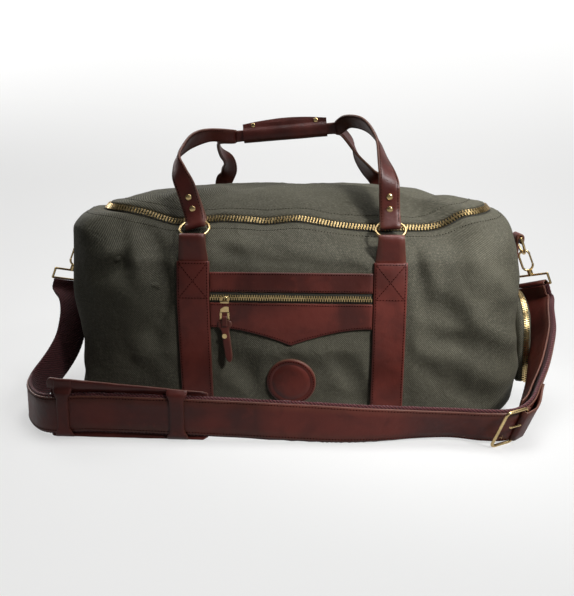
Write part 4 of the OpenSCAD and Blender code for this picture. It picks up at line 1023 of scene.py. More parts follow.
class SlingOperator(bpy.types.Operator):
    """Makes the shoulder strap, its leather facing, the pad and the buckle"""
    bl_idname = "weekender.sling"
    bl_label = "Shoulder strap"

    # Radius of the leather's turn at the right end and round the buckle's bar
    END_R, FOLD_R = 4.7, 3.2
    # Height of the stitches on the facing and on its second layer
    FACING_SEWN, RETURN_SEWN = -2.25, 9.46
    # The webbing's corded edge: height and length of its waves, and the section's points that lie on it
    WAVE_H, WAVE_L, EDGE_POINTS = 0.55, 5.2, (0, 1, 7, 8)
    # Pad: thickness, height of its middle, its ends, and its stretches (from, to, whether over the strap)
    PAD_T, PAD_Z, PAD_LEFT, PAD_RIGHT = 2.6, 31.0, -282, -92
    PAD_PARTS = ((-282, -269, False), (-269, -255, True), (-255, -136, False), (-136, -119, True),
                 (-119, -92, False))

    def execute(self, context):
        both = curve_through([list(p) + list(w) for p, w in sling_route()], 12)
        line, ways = both[:, :3], unit(both[:, 3:])
        along = lengths(line)
        rings, w, n = ribbon_rings(line, ways, np.full(len(line), SLING_W), *WEBBING_FACES, 0.6)
        cord_edge = self.WAVE_H * np.sin(along * ROUND / self.WAVE_L)[:, None]
        for k in self.EDGE_POINTS:
            rings[:, k] += w * cord_edge * (1 if k > 2 else -1) * (1 if k % 2 else -1)
        form = Form()
        form.tube(rings)
        webbing = form.show("shoulder_strap_webbing", "Webbing", "bag", ["strap_webbing"])
        form, back = Form(), slice(0, DOUBLE)
        ribbon(form, line, ways, FACING_W, *FACING_FACES, 0.7)
        bend = np.radians(np.linspace(180, 0, 13))[:, None]
        forward, r = unit(line[1] - line[0]), self.END_R
        over = line[0] + n[0] * (3.6 + r * np.cos(bend)) - forward * (1.0 + r * np.sin(bend))
        ribbon(form, over, w[0], FACING_W, -1.1, 1.1, 0.6)
        ribbon(form, line[back], ways[back], FACING_W, *RETURN_FACES, 0.7)
        ribbon(form, self.buckle_fold(line, n), BUCKLE_LEAN, FOLD_W, -1.2, 1.2, 0.6)
        facing = form.show("shoulder_strap_leather", "Leather", "bag", ["strap_facing"])
        lines = edge_lines(line, w, n, FACING_W, self.FACING_SEWN)
        lines += edge_lines(line, w, n, FACING_W, self.RETURN_SEWN, span=back)
        sewn = stitches("shoulder_strap_stitches", lines, "bag")
        with_pieces = [facing, sewn, self.pad(), self.buckle()] + [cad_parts[k] for k in HOOKS]
        tuple(line[0] * MM)
        (line * MM).tolist()
        for node in HOOKS:
            paint(node, "Brass")
        return {"FINISHED"}

    def buckle_fold(self, line, n):
        """Strap end folded round the buckle's bar, its tail laid back along the strap."""
        bend, r = np.radians(np.linspace(90, -90, 11))[:, None], self.FOLD_R
        normal = np.cross(BUCKLE_WAY, BUCKLE_LEAN)
        turn = BUCKLE_BAR + BUCKLE_WAY * r * np.cos(bend) + normal * r * np.sin(bend)
        inner = turn[0] - BUCKLE_WAY * np.linspace(9, 2, 4)[:, None]
        k = np.arange(DOUBLE, 71, -2)
        tail = line[k] - n[k] * (3.7 + 4.6 * smoothstep(74, 90, k))[:, None]
        return np.concatenate([inner, turn, tail])

    def buckle(self):
        r, path = BUCKLE_CORNER, []
        for sx, sy, first in ((1, 1, 0), (-1, 1, 90), (-1, -1, 180), (1, -1, 270)):
            path += [(sx * (BUCKLE_L / 2 - r) + r * math.cos(t), sy * (BUCKLE_HALF - r) + r * math.sin(t))
                     for t in np.radians(np.arange(0, 90, 15)) + math.radians(first)]
        path = np.array(path)
        middle = BUCKLE_BAR + BUCKLE_WAY * (BUCKLE_L / 2 - 0.5)
        form = Form()
        wire(form, middle + path[:, :1] * BUCKLE_WAY + path[:, 1:] * BUCKLE_LEAN,
             np.cross(BUCKLE_WAY, BUCKLE_LEAN), BUCKLE_WIRE)
        return form.show("buckle_wire", "Brass", "bag", ["buckle_frame"])

    def pad(self):
        """Leather plate woven with the strap: over it near the left end and at one bridge, else under it."""
        thick, zc = self.PAD_T, self.PAD_Z
        form = Form()
        for x0, x1, over in self.PAD_PARTS:
            u, v = edge_places(max(6, int((x1 - x0) / 4)), 1.0, x1 - x0), edge_places(26, 1.2, 66.0)
            uu, vv = np.meshgrid(u, v)
            x = x0 + uu * (x1 - x0)
            z = 0.6 + vv * (65.4 - (x + 186) * 0.075)
            beside = smoothstep(17, 27, np.abs(z - zc))
            if over:
                x = x + beside * 4.0 * np.where(uu > 0.5, 1, -1) * (np.abs(uu - 0.5) * 2)
            round_ = np.clip(np.maximum(6 - (x - self.PAD_LEFT), 6 - (self.PAD_RIGHT - x)) / 6, 0, 1)
            z = zc + (z - zc) * (1 - 0.12 * round_ ** 2)
            held = 1 - smoothstep(24.5, 30, np.abs(z - zc))
            y = (-206.6 - 4.3 * held) if over else (-206.0 + 4.3 * held)
            y = y + 5.5 * smoothstep(-268, -282, x) * held + 2.5 * smoothstep(-272, -282, x)
            h, rim = rim_heights(u, v, 0.15, 1.0)
            y = y + 0.5 * field(np.stack([x, y * 0, z], -1), 26.0, 5.1, 2)
            back = y + thick / 2
            form.plate(np.stack([x, back - thick * h, z], -1), np.stack([x, back, z], -1), rim)
        return form.show("shoulder_pad_leather", "Leather", "shoulder_pad", ["shoulder_pad"])


class BodyOperator(bpy.types.Operator):
    """Makes the canvas body with its folds, its base, lining and binding"""
    bl_idname = "weekender.body"
    bl_label = "Canvas body"

    # Thickness of the canvas and the lining, and the row with the hem's stitches
    CANVAS_T, LINING_T, HEM_ROW = 2.4, 1.2, -7
    # Roll that the lid hinges on: half its length, and its radius
    ROLL_HALF, ROLL_R = 202, 4.3

    def execute(self, context):
        s = shell()
        inside = self.inset(s.grid, self.CANVAS_T)
        form = Form()
        outer = form.grid(s.grid, wrap=True)
        inner = form.grid(inside, wrap=True, flip=True)
        form.band(outer[-1], inner[-1], closed=True)
        self.floor(form, s.grid[0], outer[0], 0.5)
        self.floor(form, inside[0], inner[0], 2.8)
        form.show("canvas_body", "Waxed canvas", "bag",
                  ["front_panel", "back_panel", "left_end_panel", "right_end_panel", "base_panel"])
        self.lining(s)
        self.pocket_bag(s)
        self.binding()
        paint("base_board", "Lining cloth")
        seam = s.grid[self.HEM_ROW]
        order = front_order(seam, ZIP_STOP_Y)
        line = seam[order] + s.out[order] * 0.15
        stitches("body_hem_stitches", [(line, s.out[order] + (0, 0, 0.8))], "bag", size=HEM_STITCH,
                 finish="Canvas thread")
        return {"FINISHED"}

    def inset(self, grid, t):
        """The grid drawn in by the thickness t."""
        down = np.gradient(grid, axis=0)
        round_ = np.roll(grid, -1, 1) - np.roll(grid, 1, 1)
        n = unit(np.cross(round_, down))
        return grid - n * t * np.sign((n * unit(grid - [0, 0, 110])).sum(-1, keepdims=True))

    def floor(self, form, loop, index, z):
        for k in (0.9, 0.7, 0.4, 0.1):
            now = form.add(loop * [k, k, 0] + [0, 0, z])
            form.band(index, now, closed=True)
            index = now
        form.cap(index)

    def lining(self, s):
        """Cloth that stays behind the deepest folds near it."""
        deep = ((s.grid - s.base) * s.out[None]).sum(-1)
        deep = np.min([np.roll(deep, k, 1) for k in range(-5, 6)], 0)
        tall = np.pad(deep, ((5, 5), (0, 0)), "edge")
        deep = np.min([tall[k:k + len(deep)] for k in range(11)], 0)
        outer = (s.base + s.out[None] * (soften(deep, 8, wrap=True) - 4.6)[..., None])[3:-4]
        outer = outer + s.out[None] * (-0.8 + 0.8 * field(outer, 40.0, 2.2, 2))[..., None]
        outer[..., 2] = np.maximum(outer[..., 2], 7.0)
        inner = self.inset(outer, self.LINING_T)
        form = Form()
        a, b = form.grid(outer[::3, ::2], wrap=True), form.grid(inner[::3, ::2], wrap=True, flip=True)
        form.band(a[-1], b[-1], closed=True)
        form.band(a[0], b[0], closed=True)
        form.show("lining_cloth", "Lining cloth", "bag", ["lining"])

    def pocket_bag(self, s):
        foot, height = 42, 115
        uu, vv = np.meshgrid(edge_places(24, 1.0, POCKET_L), edge_places(14, 1.0, height))
        x, z = -POCKET_HALF + uu * 2 * POCKET_HALF, foot + vv * height
        y = s.depth_at(-1, x, z) + 8.2 + 1.5 * field(np.stack([x, 0 * x, z], -1), 30.0, 4.4, 2)
        form = Form()
        form.plate(np.stack([x, y + self.LINING_T, z], -1), np.stack([x, y, z], -1))
        form.show("pocket_inner_bag", "Lining cloth", "bag", ["pocket_bag"])

    def binding(self):
        form = Form()
        x = np.linspace(-self.ROLL_HALF, self.ROLL_HALF, 90)
        r = self.ROLL_R + 0.25 * field(np.stack([x, 0 * x, 0 * x], 1), 14.0, 9.1, 2)
        form.tube(np.stack([np.stack([x, HINGE_Y + r * np.cos(a), HINGE_Z + r * np.sin(a)], 1)
                            for a in np.radians(np.arange(16) * 22.5)], 1))
        form.show("hinge_roll", "Waxed canvas", "bag", ["hinge_binding"])


class LidOperator(bpy.types.Operator):
    """Makes the soft lid and the main zip's tapes and teeth"""
    bl_idname = "weekender.lid"
    bl_label = "Lid and main zip"

    # Height of the crown, thickness of the canvas, and the row with the hem's stitches
    CROWN, CANVAS_T, HEM_ROW = 288.3, 2.2, 5
    # How far back the hem's stitches and the lid's half of the zip run
    HEM_BACK, TAPE_BACK = 46, 35.5

    def execute(self, context):
        self.lid()
        self.zip(context.scene.weekender_metal.main_pitch / MM)
        return {"FINISHED"}

    def lid(self):
        outline = ring(SHOULDER)
        tilt = zip_tilt(outline)
        edge = drawn_in(SHOULDER + hem_gap(outline) * np.cos(tilt))
        rim = soften(zip_height(outline), 6, wrap=True) + HEM * np.sin(tilt) + 0.8
        steps = np.concatenate([[1.0, 0.994, 0.985, 0.97, 0.95, 0.925], np.linspace(0.9, 0.04, 34)])
        top = np.array([np.column_stack([edge * k, rim + (self.CROWN - rim) * (1 - k ** 3.0)])
                        for k in steps])
        x, y = top[..., 0], top[..., 1]
        d = 3.0 * field(top, (120, 90, 60), 6.4, 2) + 1.5 * field(top, (48, 40, 40), 1.7, 3)
        d += 0.6 * field(top, 16.0, 7.7, 3)
        d -= 4.0 * np.exp(-(near_line(x, y, [(150, -80), (176, -40), (190, 0)]) / 18) ** 2)
        d += 3.0 * np.exp(-(near_line(x, y, [(-205, -70), (-188, -30), (-182, 20)]) / 16) ** 2)
        top[..., 2] += d * smoothstep(0.0, 0.16, 1 - steps)[:, None]
        fold = 1.3 * (1 - smoothstep(0.03, 0.07, 1 - steps)) * smoothstep(-0.001, 0.006, 1 - steps)
        top[..., 2] += fold[:, None]
        under = top - np.array([0, 0, self.CANVAS_T])
        under[..., :2] *= 0.995
        form = Form()
        a, b = form.grid(top, wrap=True, flip=True), form.grid(under, wrap=True)
        form.band(a[0], b[0], closed=True)
        form.cap(a[-1])
        form.cap(b[-1])
        form.show("lid_canvas", "Waxed canvas", "lid", ["lid_panel"])
        line = top[self.HEM_ROW] + np.array([0, 0, 0.2])
        stitches("lid_hem_stitches", [(line[front_order(line, self.HEM_BACK)], (0, 0, 1))], "lid",
                 size=HEM_STITCH, finish="Canvas thread")

    def zip(self, pitch):
        line, out = zip_line()
        tilt, high = zip_tilt(line)[:, None], np.array([0, 0, 1.0])
        stand = out * np.sin(tilt) + high * np.cos(tilt)
        across = out * np.cos(tilt) - high * np.sin(tilt)
        short = line[:, 1] < self.TAPE_BACK
        for side, body, part, keep in ((1, "bag", "body", slice(None)), (-1, "lid", "lid", short)):
            p, o, up = line[keep], across[keep] * side, stand[keep]
            rows = np.array([p + o * 0.9, p + o * 4.2, p + o * (HEM + 2.5) - up * 1.5])
            form = Form()
            form.plate(rows, rows - up * 0.9)
            form.show(f"zip_tape_{part}_side", "Zip tape", body, [f"zip_tape_{part}"])
            start = 0 if side > 0 else pitch / 2
            row = spaced(np.column_stack([p + o * 1.7 + up * 1.1, up]), pitch, start)
            teeth(f"zip_teeth_{part}_side", [(row[:, :3], row[:, 3:])], body, pitch, MAIN_TOOTH,
                  [f"zip_teeth_{part}"])


class StrapOperator(bpy.types.Operator):
    """Makes the leather straps up the front and back, and the chapes that hold the rings"""
    bl_idname = "weekender.straps"
    bl_label = "Body straps"

    # Height of a strap's foot, and how far its stitches lie from its edge
    FOOT, SEWN = 6.0, 2.6
    # Chape from its outer end over the ring's bar and down behind: (depth, height, width)
    NECK = [(131.6, 196, 37), (132.2, 202, 36.4), (133.6, 208, 35.2), (135.4, 214, 34),
            (137.2, 220, 32.8), (138.2, 225, 31.8), (138.25, 229, 31), (137.2, 231.6, 31),
            (134.5, 232.75, 31), (131.8, 231.6, 31), (130.8, 228.5, 31), (130.4, 222, 31),
            (129.0, 214, 31), (128.2, 207, 33), (128.0, 201, 34)]

    def execute(self, context):
        for side, name in ((-1, "front"), (1, "back")):
            neck, lines = Form(), []
            for sx, hand in ((-1, "left"), (1, "right")):
                form, height = Form(), STRAP_TOP - self.FOOT
                sewn_plate(form, side,
                           lambda u, v: (sx * STRAP_X + (u - 0.5) * STRAP_W, self.FOOT + v * height),
                           10, 60, STRAP_W, height, 1.6, STRAP_T + 0.3)
                form.show(f"{name}_{hand}_strap_leather", "Leather", "bag", [f"{name}_{hand}_strap"])
                lines += self.sewing(side, sx * STRAP_X)
                self.chape(neck, side, sx)
            stitches(f"{name}_strap_stitches", lines, "bag")
            neck.show(f"{name}_chape_leather", "Leather", "bag", [f"{name}_chapes"])
            paint(f"{name}_rings", "Brass")
        return {"FINISHED"}

    def sewing(self, side, x):
        """Stitch lines round a strap, with a crossed box at its upper end."""
        left, right = x - (STRAP_W / 2 - self.SEWN), x + (STRAP_W / 2 - self.SEWN)
        top, low, box = STRAP_TOP - self.SEWN, 8.0, STRAP_TOP - 44.0
        runs = [[(left, low), (left, top)], [(right, low), (right, top)], [(left, top), (right, top)],
                [(left, box), (right, box)], [(left + 1, top - 1), (right - 1, box + 1)],
                [(left + 1, box + 1), (right - 1, top - 1)]]
        return [sewn_line(side, r, STRAP_T + 0.45) for r in runs]

    def chape(self, form, side, sx):
        path = curve_through(self.NECK, 5)
        line = np.column_stack([np.full(len(path), sx * STRAP_X), side * path[:, 0], path[:, 1]])
        ribbon(form, line, (1.0, 0, 0), path[:, 2], -1.4, 1.4, 0.6)


def leg(*points):
    return [(np.array(p[:3], float), np.array(p[3], float), p[4]) for p in points]


# Handles: each leg's steps from its ring as (x, inwards, up, width direction, width), and how far it leans
FULL, SLIM = 25.0, 20.0
HANDLE_LEGS = {
    ("front", -1): leg((-13, 0, 41, (-0.95, 0, -0.3), FULL), (-21.5, 6, 57, (-0.85, 0.5, -0.2), FULL),
                       (-27, 18, 71, (-0.4, 0.9, -0.1), FULL), (-24, 32, 84, (-0.1, 0.99, -0.1), FULL),
                       (-12, 52, 98, (0.1, 0.9, -0.4), FULL), (8, 80, 105, (0.1, 0.75, -0.65), SLIM)),
    ("front", 1): leg((-2, 0, 41, (1, 0, 0.05), FULL), (-4, 6, 57, (0.85, 0.5, 0), FULL),
                      (-9, 22, 77, (0.4, 0.9, 0), FULL), (-16, 40, 99, (0.1, 0.99, -0.1), FULL),
                      (-31, 58, 117, (0, 0.9, -0.4), FULL), (-52, 82, 122, (0, 0.75, -0.65), SLIM)),
    ("back", -1): leg((3, 0, 40, (-1, 0, 0.07), FULL), (12, 10, 54, (-0.85, 0.5, 0), FULL),
                      (13, 30, 70, (-0.4, 0.9, 0), FULL), (6, 52, 85, (0.1, 0.9, -0.2), FULL),
                      (10, 80, 101, (0.1, 0.75, -0.65), SLIM)),
    ("back", 1): leg((-3, 0, 40, (1, 0, 0.07), FULL), (-18, 10, 54, (0.85, 0.5, 0), FULL),
                     (-32, 30, 72, (0.4, 0.9, 0), FULL), (-44, 54, 94, (-0.1, 0.9, -0.3), FULL),
                     (-60, 82, 112, (0, 0.75, -0.65), SLIM)),
}
HANDLE_LEANS = {("front", -1): -18.0, ("front", 1): -3.0, ("back", -1): 4.0, ("back", 1): -5.0}
# Where a leg enters the grip: (distance along it, to the side, width direction, width)
GRIP_MOUTH = ((70, 7.6, (0, 0.25, -0.97), 18.5), (56, 2.7, (0, 0.1, -0.99), 14.5))
# Fold round the ring's upper bar: (step inwards, height), from the tucked end round to the outer face
FOLD = [(3.9, 35), (3.8, 22), (3.7, 11), (3.4, 5), (2.6, 1.0), (0.2, -2.4), (-4.0, -5.4), (-8.4, -7.4),
        (-10.8, -6.4), (-10.4, -3.4), (-7.0, 1.5), (-3.4, 7.0), (-1.2, 12.5), (-0.3, 18), (-0.15, 25)]


class HandleOperator(bpy.types.Operator):
    """Makes both handles with their folded ends, rivets and the snapped grip"""
    bl_idname = "weekender.handles"
    bl_label = "Handles and grip"

    # Heads of rivets and snaps: (share of the radius, share of the height); then radius and height
    RIVET_HEAD = ((1.0, -0.6), (1.0, 0.25), (0.93, 0.55), (0.75, 0.82), (0.45, 0.96), (0.12, 1.0))
    SNAP_HEAD = ((1, -0.4), (1, 0.5), (0.8, 1.0), (0.4, 1.2), (0.1, 1.2))
    RIVET_R, RIVET_H, SNAP_R, SNAP_H = 4.1, 2.2, 3.0, 1.0
    # Length of the grip; half the leather's thickness, and how far its stitches lie from its middle
    GRIP_L, LEATHER_HALF, STITCH_H = 112.0, 1.6, 1.72
    # Half of the grip's section from its lower lip up and round its inside: (depth, height)
    GRIP_SECTION = np.array([
        (0.35, -9.95), (2.6, -9.6), (5.4, -7.8), (7.4, -4.6), (7.95, 0), (7.5, 4.2), (5.9, 7.2), (3.9, 9.2),
        (3.0, 11), (2.85, 14.2), (2.5, 14.9), (0.75, 14.9), (0.4, 14.2), (0.45, 10.5), (1.6, 8.0), (4.0, 5.4),
        (5.3, 2.5), (5.5, 0), (5.2, -3.6), (3.6, -6.2), (1.9, -7.3), (0.35, -7.5)])

    def execute(self, context):
        for name, mirror in (("front", 1.0), ("back", -1.0)):
            self.handle(name, mirror)
        self.grip()
        return {"FINISHED"}

    def half(self, name, sx):
        """One leg from its tucked end to the grip, in the front handle's own sense."""
        lean = math.radians(HANDLE_LEANS[name, sx])
        start = np.array([sx * STRAP_X, -RING_TOP_Y, RING_TOP_Z])
        across = np.array([sx * math.cos(lean), 0, -sx * math.sin(lean)])
        points = []
        for inwards, height in FOLD:
            lifted = max(height, 0.0)
            step = [math.sin(lean) * lifted, inwards, math.cos(lean) * lifted + min(height, 0)]
            points.append((start + step, across, FULL))
        points += [(start + step, way, width) for step, way, width in HANDLE_LEGS[name, sx]]
        points += [(GRIP + [sx * run, -side, sx * run * math.tan(GRIP_TILT)], np.array(way, float), width)
                   for run, side, way, width in GRIP_MOUTH]
        return points

    def handle(self, name, mirror):
        left, right = self.half(name, -1), self.half(name, 1)
        turned = []
        for i, (p, w, k) in enumerate(left + right[::-1]):
            w = unit(w)
            if turned and w @ turned[-1][3:6] < -0.2 and i != len(left):
                w = -w
            turned.append(np.concatenate([p, w, [k]]))
        run = curve_through(turned, 6)
        line, ways, widths = run[:, :3] * [1, mirror, 1], run[:, 3:6] * [1, mirror, 1], run[:, 6]
        form = Form()
        w, n = ribbon(form, line, ways, widths, -self.LEATHER_HALF, self.LEATHER_HALF, 0.8)
        form.show(f"{name}_handle_leather", "Leather", f"{name}_handle",
                  [f"{name}_handle_strap", f"{name}_handle_folds"])
        mid = len(line) // 2
        lines = []
        for part in (slice(60, mid - 12), slice(mid + 12, len(line) - 60)):
            for face in (self.STITCH_H, -self.STITCH_H):
                lines += edge_lines(line, w, n, widths, face, 2.4, part)
        stitches(f"{name}_handle_stitches", lines, f"{name}_handle")
        self.rivets(name, mirror)

    def rivets(self, name, mirror):
        form = Form()
        for sx in (-1, 1):
            lean = math.radians(HANDLE_LEANS[name, sx])
            for height in (15, 30):
                seat = np.array([sx * STRAP_X + math.sin(lean) * height, -RING_TOP_Y - 1.65,
                                 RING_TOP_Z + math.cos(lean) * height])
                form.tube(dome(seat, self.RIVET_R, self.RIVET_H, self.RIVET_HEAD, 20) * [1, mirror, 1])
        form.show(f"{name}_rivet_heads", "Brass", f"{name}_handle", [f"{name}_rivets"])

    def grip(self):
        depth, height = self.GRIP_SECTION.T
        lip = np.clip((height - 8) / 6, 0, 1)
        for side, name, body, gape, rise in ((-1, "grip_wrap", "front_handle", 0.6, 0.0),
                                             (1, "grip_flap", "grip_flap", 5.0, 4.6)):
            rings = []
            for x in np.linspace(-self.GRIP_L / 2, self.GRIP_L / 2, 40):
                bulge = math.cos(x / self.GRIP_L * math.pi)
                rings.append(np.column_stack([np.full(len(lip), x), side * (depth + lip * (gape * bulge)),
                                              height + lip * (rise * bulge)]))
            rings = np.array(rings)
            rings = rings + 0.35 * field(rings, 22.0, 3.7, 2)[..., None] * np.array([0, 1, 0.6])
            form = Form()
            form.tube(self.tilted(rings))
            form.show(name + "_leather", "Leather", body, [name], sharp=50)
        form = Form()
        for e in (-1, 1):
            seat = np.array([e * (self.GRIP_L / 2 - 14), -3.0, 12.4])
            form.tube(self.tilted(dome(seat, self.SNAP_R, self.SNAP_H, self.SNAP_HEAD, 16)))
        form.show("grip_snap_heads", "Brass", "front_handle", ["grip_snaps"])

    def tilted(self, p):
        c, s = math.cos(GRIP_TILT), math.sin(GRIP_TILT)
        x, y, z = p[..., 0], p[..., 1], p[..., 2]
        return np.stack([x * c - z * s, y, x * s + z * c], -1) + GRIP


# Front pocket: half its length, its length, the height of its zip and half the tape's width; where its
# pull hangs; and how far each row of teeth in a pocket zip lies from the middle
POCKET_HALF, POCKET_L, POCKET_Z, TAPE_HALF = 98.7, 197.0, 157.0, 6.5
PULL_X = -80.7
TEETH_OFF = 1.35


class PocketOperator(bpy.types.Operator):
    """Makes the front pocket's leather and zip, and the round patch"""
    bl_idname = "weekender.pocket"
    bl_label = "Front pocket and patch"

    # Width of the upper strip; how far stitches lie from an edge, and how high over the canvas
    STRIP_W, SEWN, STITCH_H = 24, 2.2, 3.0
    # Height of the leather and of the tape over the canvas, at the rim and inside it
    LEATHER, TAPE = (1.2, 2.9), (0.5, 1.0)
    # Radius of the patch and the height of its middle
    PATCH_R, PATCH_Z = 31.0, 48.0
    # The patch from under its cut edge over the pressed ring to its middle: (share of the radius, height)
    PATCH_STEPS = ((1.0, -0.8), (1.0, 0.9), (0.985, 2.0), (0.96, 2.7), (0.93, 2.85), (0.86, 2.8),
                   (0.81, 2.75), (0.79, 2.25), (0.76, 2.25), (0.74, 2.75), (0.55, 2.85), (0.3, 2.9),
                   (0.08, 2.9))

    def execute(self, context):
        low, high = POCKET_Z + TAPE_HALF, POCKET_Z + TAPE_HALF + self.STRIP_W
        self.panel("pocket_strip_leather", "Leather", "pocket_strip", lambda u, v: low + v * (high - low),
                   50, 8, self.STRIP_W, self.LEATHER)
        lines = [self.level(z) for z in (low + self.SEWN, high - self.SEWN)]
        lines += self.apron()
        self.zip(context.scene.weekender_metal.pocket_pitch / MM)
        lines += self.patch()
        stitches("pocket_stitches", lines, "bag", 3.2)
        return {"FINISHED"}

    def panel(self, name, finish, node, heights, columns, rows, height, faces):
        """Piece across the whole pocket; heights(u, v) gives the height of each of its places."""
        form = Form()
        sewn_plate(form, -1, lambda u, v: ((u - 0.5) * 2 * POCKET_HALF, heights(u, v)), columns, rows,
                   POCKET_L, height, *faces)
        form.show(name, finish, "bag", [node])

    def level(self, z):
        wide = POCKET_HALF - 1.5
        return sewn_line(-1, [(-wide, z), (wide, z)], self.STITCH_H)

    def edge(self, t):
        """Height of the apron's pointed lower edge, for t from -1 to 1 across it."""
        return POCKET_Z - TAPE_HALF - 31 - 23 * (1 - np.abs(t)) ** 1.8

    def apron(self):
        top = POCKET_Z - TAPE_HALF
        self.panel("pocket_apron_leather", "Leather", "pocket_apron",
                   lambda u, v: self.edge(2 * u - 1) * (1 - v) + top * v, 60, 18, 45, self.LEATHER)
        t = np.linspace(-0.985, 0.985, 90)
        lower = np.column_stack([t * POCKET_HALF, self.edge(t) + 2.6 + 1.2 * (1 - np.abs(t)) ** 3])
        return [sewn_line(-1, lower, self.STITCH_H), self.level(top - self.SEWN)]

    def zip(self, pitch):
        self.panel("pocket_tape_cloth", "Zip tape", "pocket_zip_tape",
                   lambda u, v: POCKET_Z + (v - 0.5) * 2 * (TAPE_HALF - 0.2), 50, 8, 2 * TAPE_HALF, self.TAPE)
        rows = []
        for e, start in ((-1, 0.0), (1, pitch / 2)):
            z = POCKET_Z + e * TEETH_OFF
            row = spaced(np.array([(-97.5 + start, z), (97.5, z)]), pitch)
            rows.append(shell().on(-1, row[:, 0], row[:, 1], np.full(len(row), 2.4)))
        teeth("pocket_zip_row", rows, "bag", pitch, POCKET_TOOTH, ["pocket_zip_teeth"])

    def patch(self):
        """Plain round patch with a pressed ring; gives its stitch line."""
        def circle(share, turn, height):
            r = self.PATCH_R * share
            x, z = r * np.cos(turn), self.PATCH_Z + r * np.sin(turn)
            return shell().on(-1, x, z, np.full(len(turn), height))
        turn = np.radians(np.arange(72) * 5.0)
        form = Form()
        form.tube(np.array([circle(k, turn, h)[0] for k, h in self.PATCH_STEPS]),
                  np.array([np.full(len(turn), 1.0 if k > 0.98 else 0.0) for k, _ in self.PATCH_STEPS]))
        form.show("round_patch_leather", "Leather", "bag", ["round_patch"])
        return [circle(0.9, np.radians(np.linspace(0, 360, 120)), 2.95)]


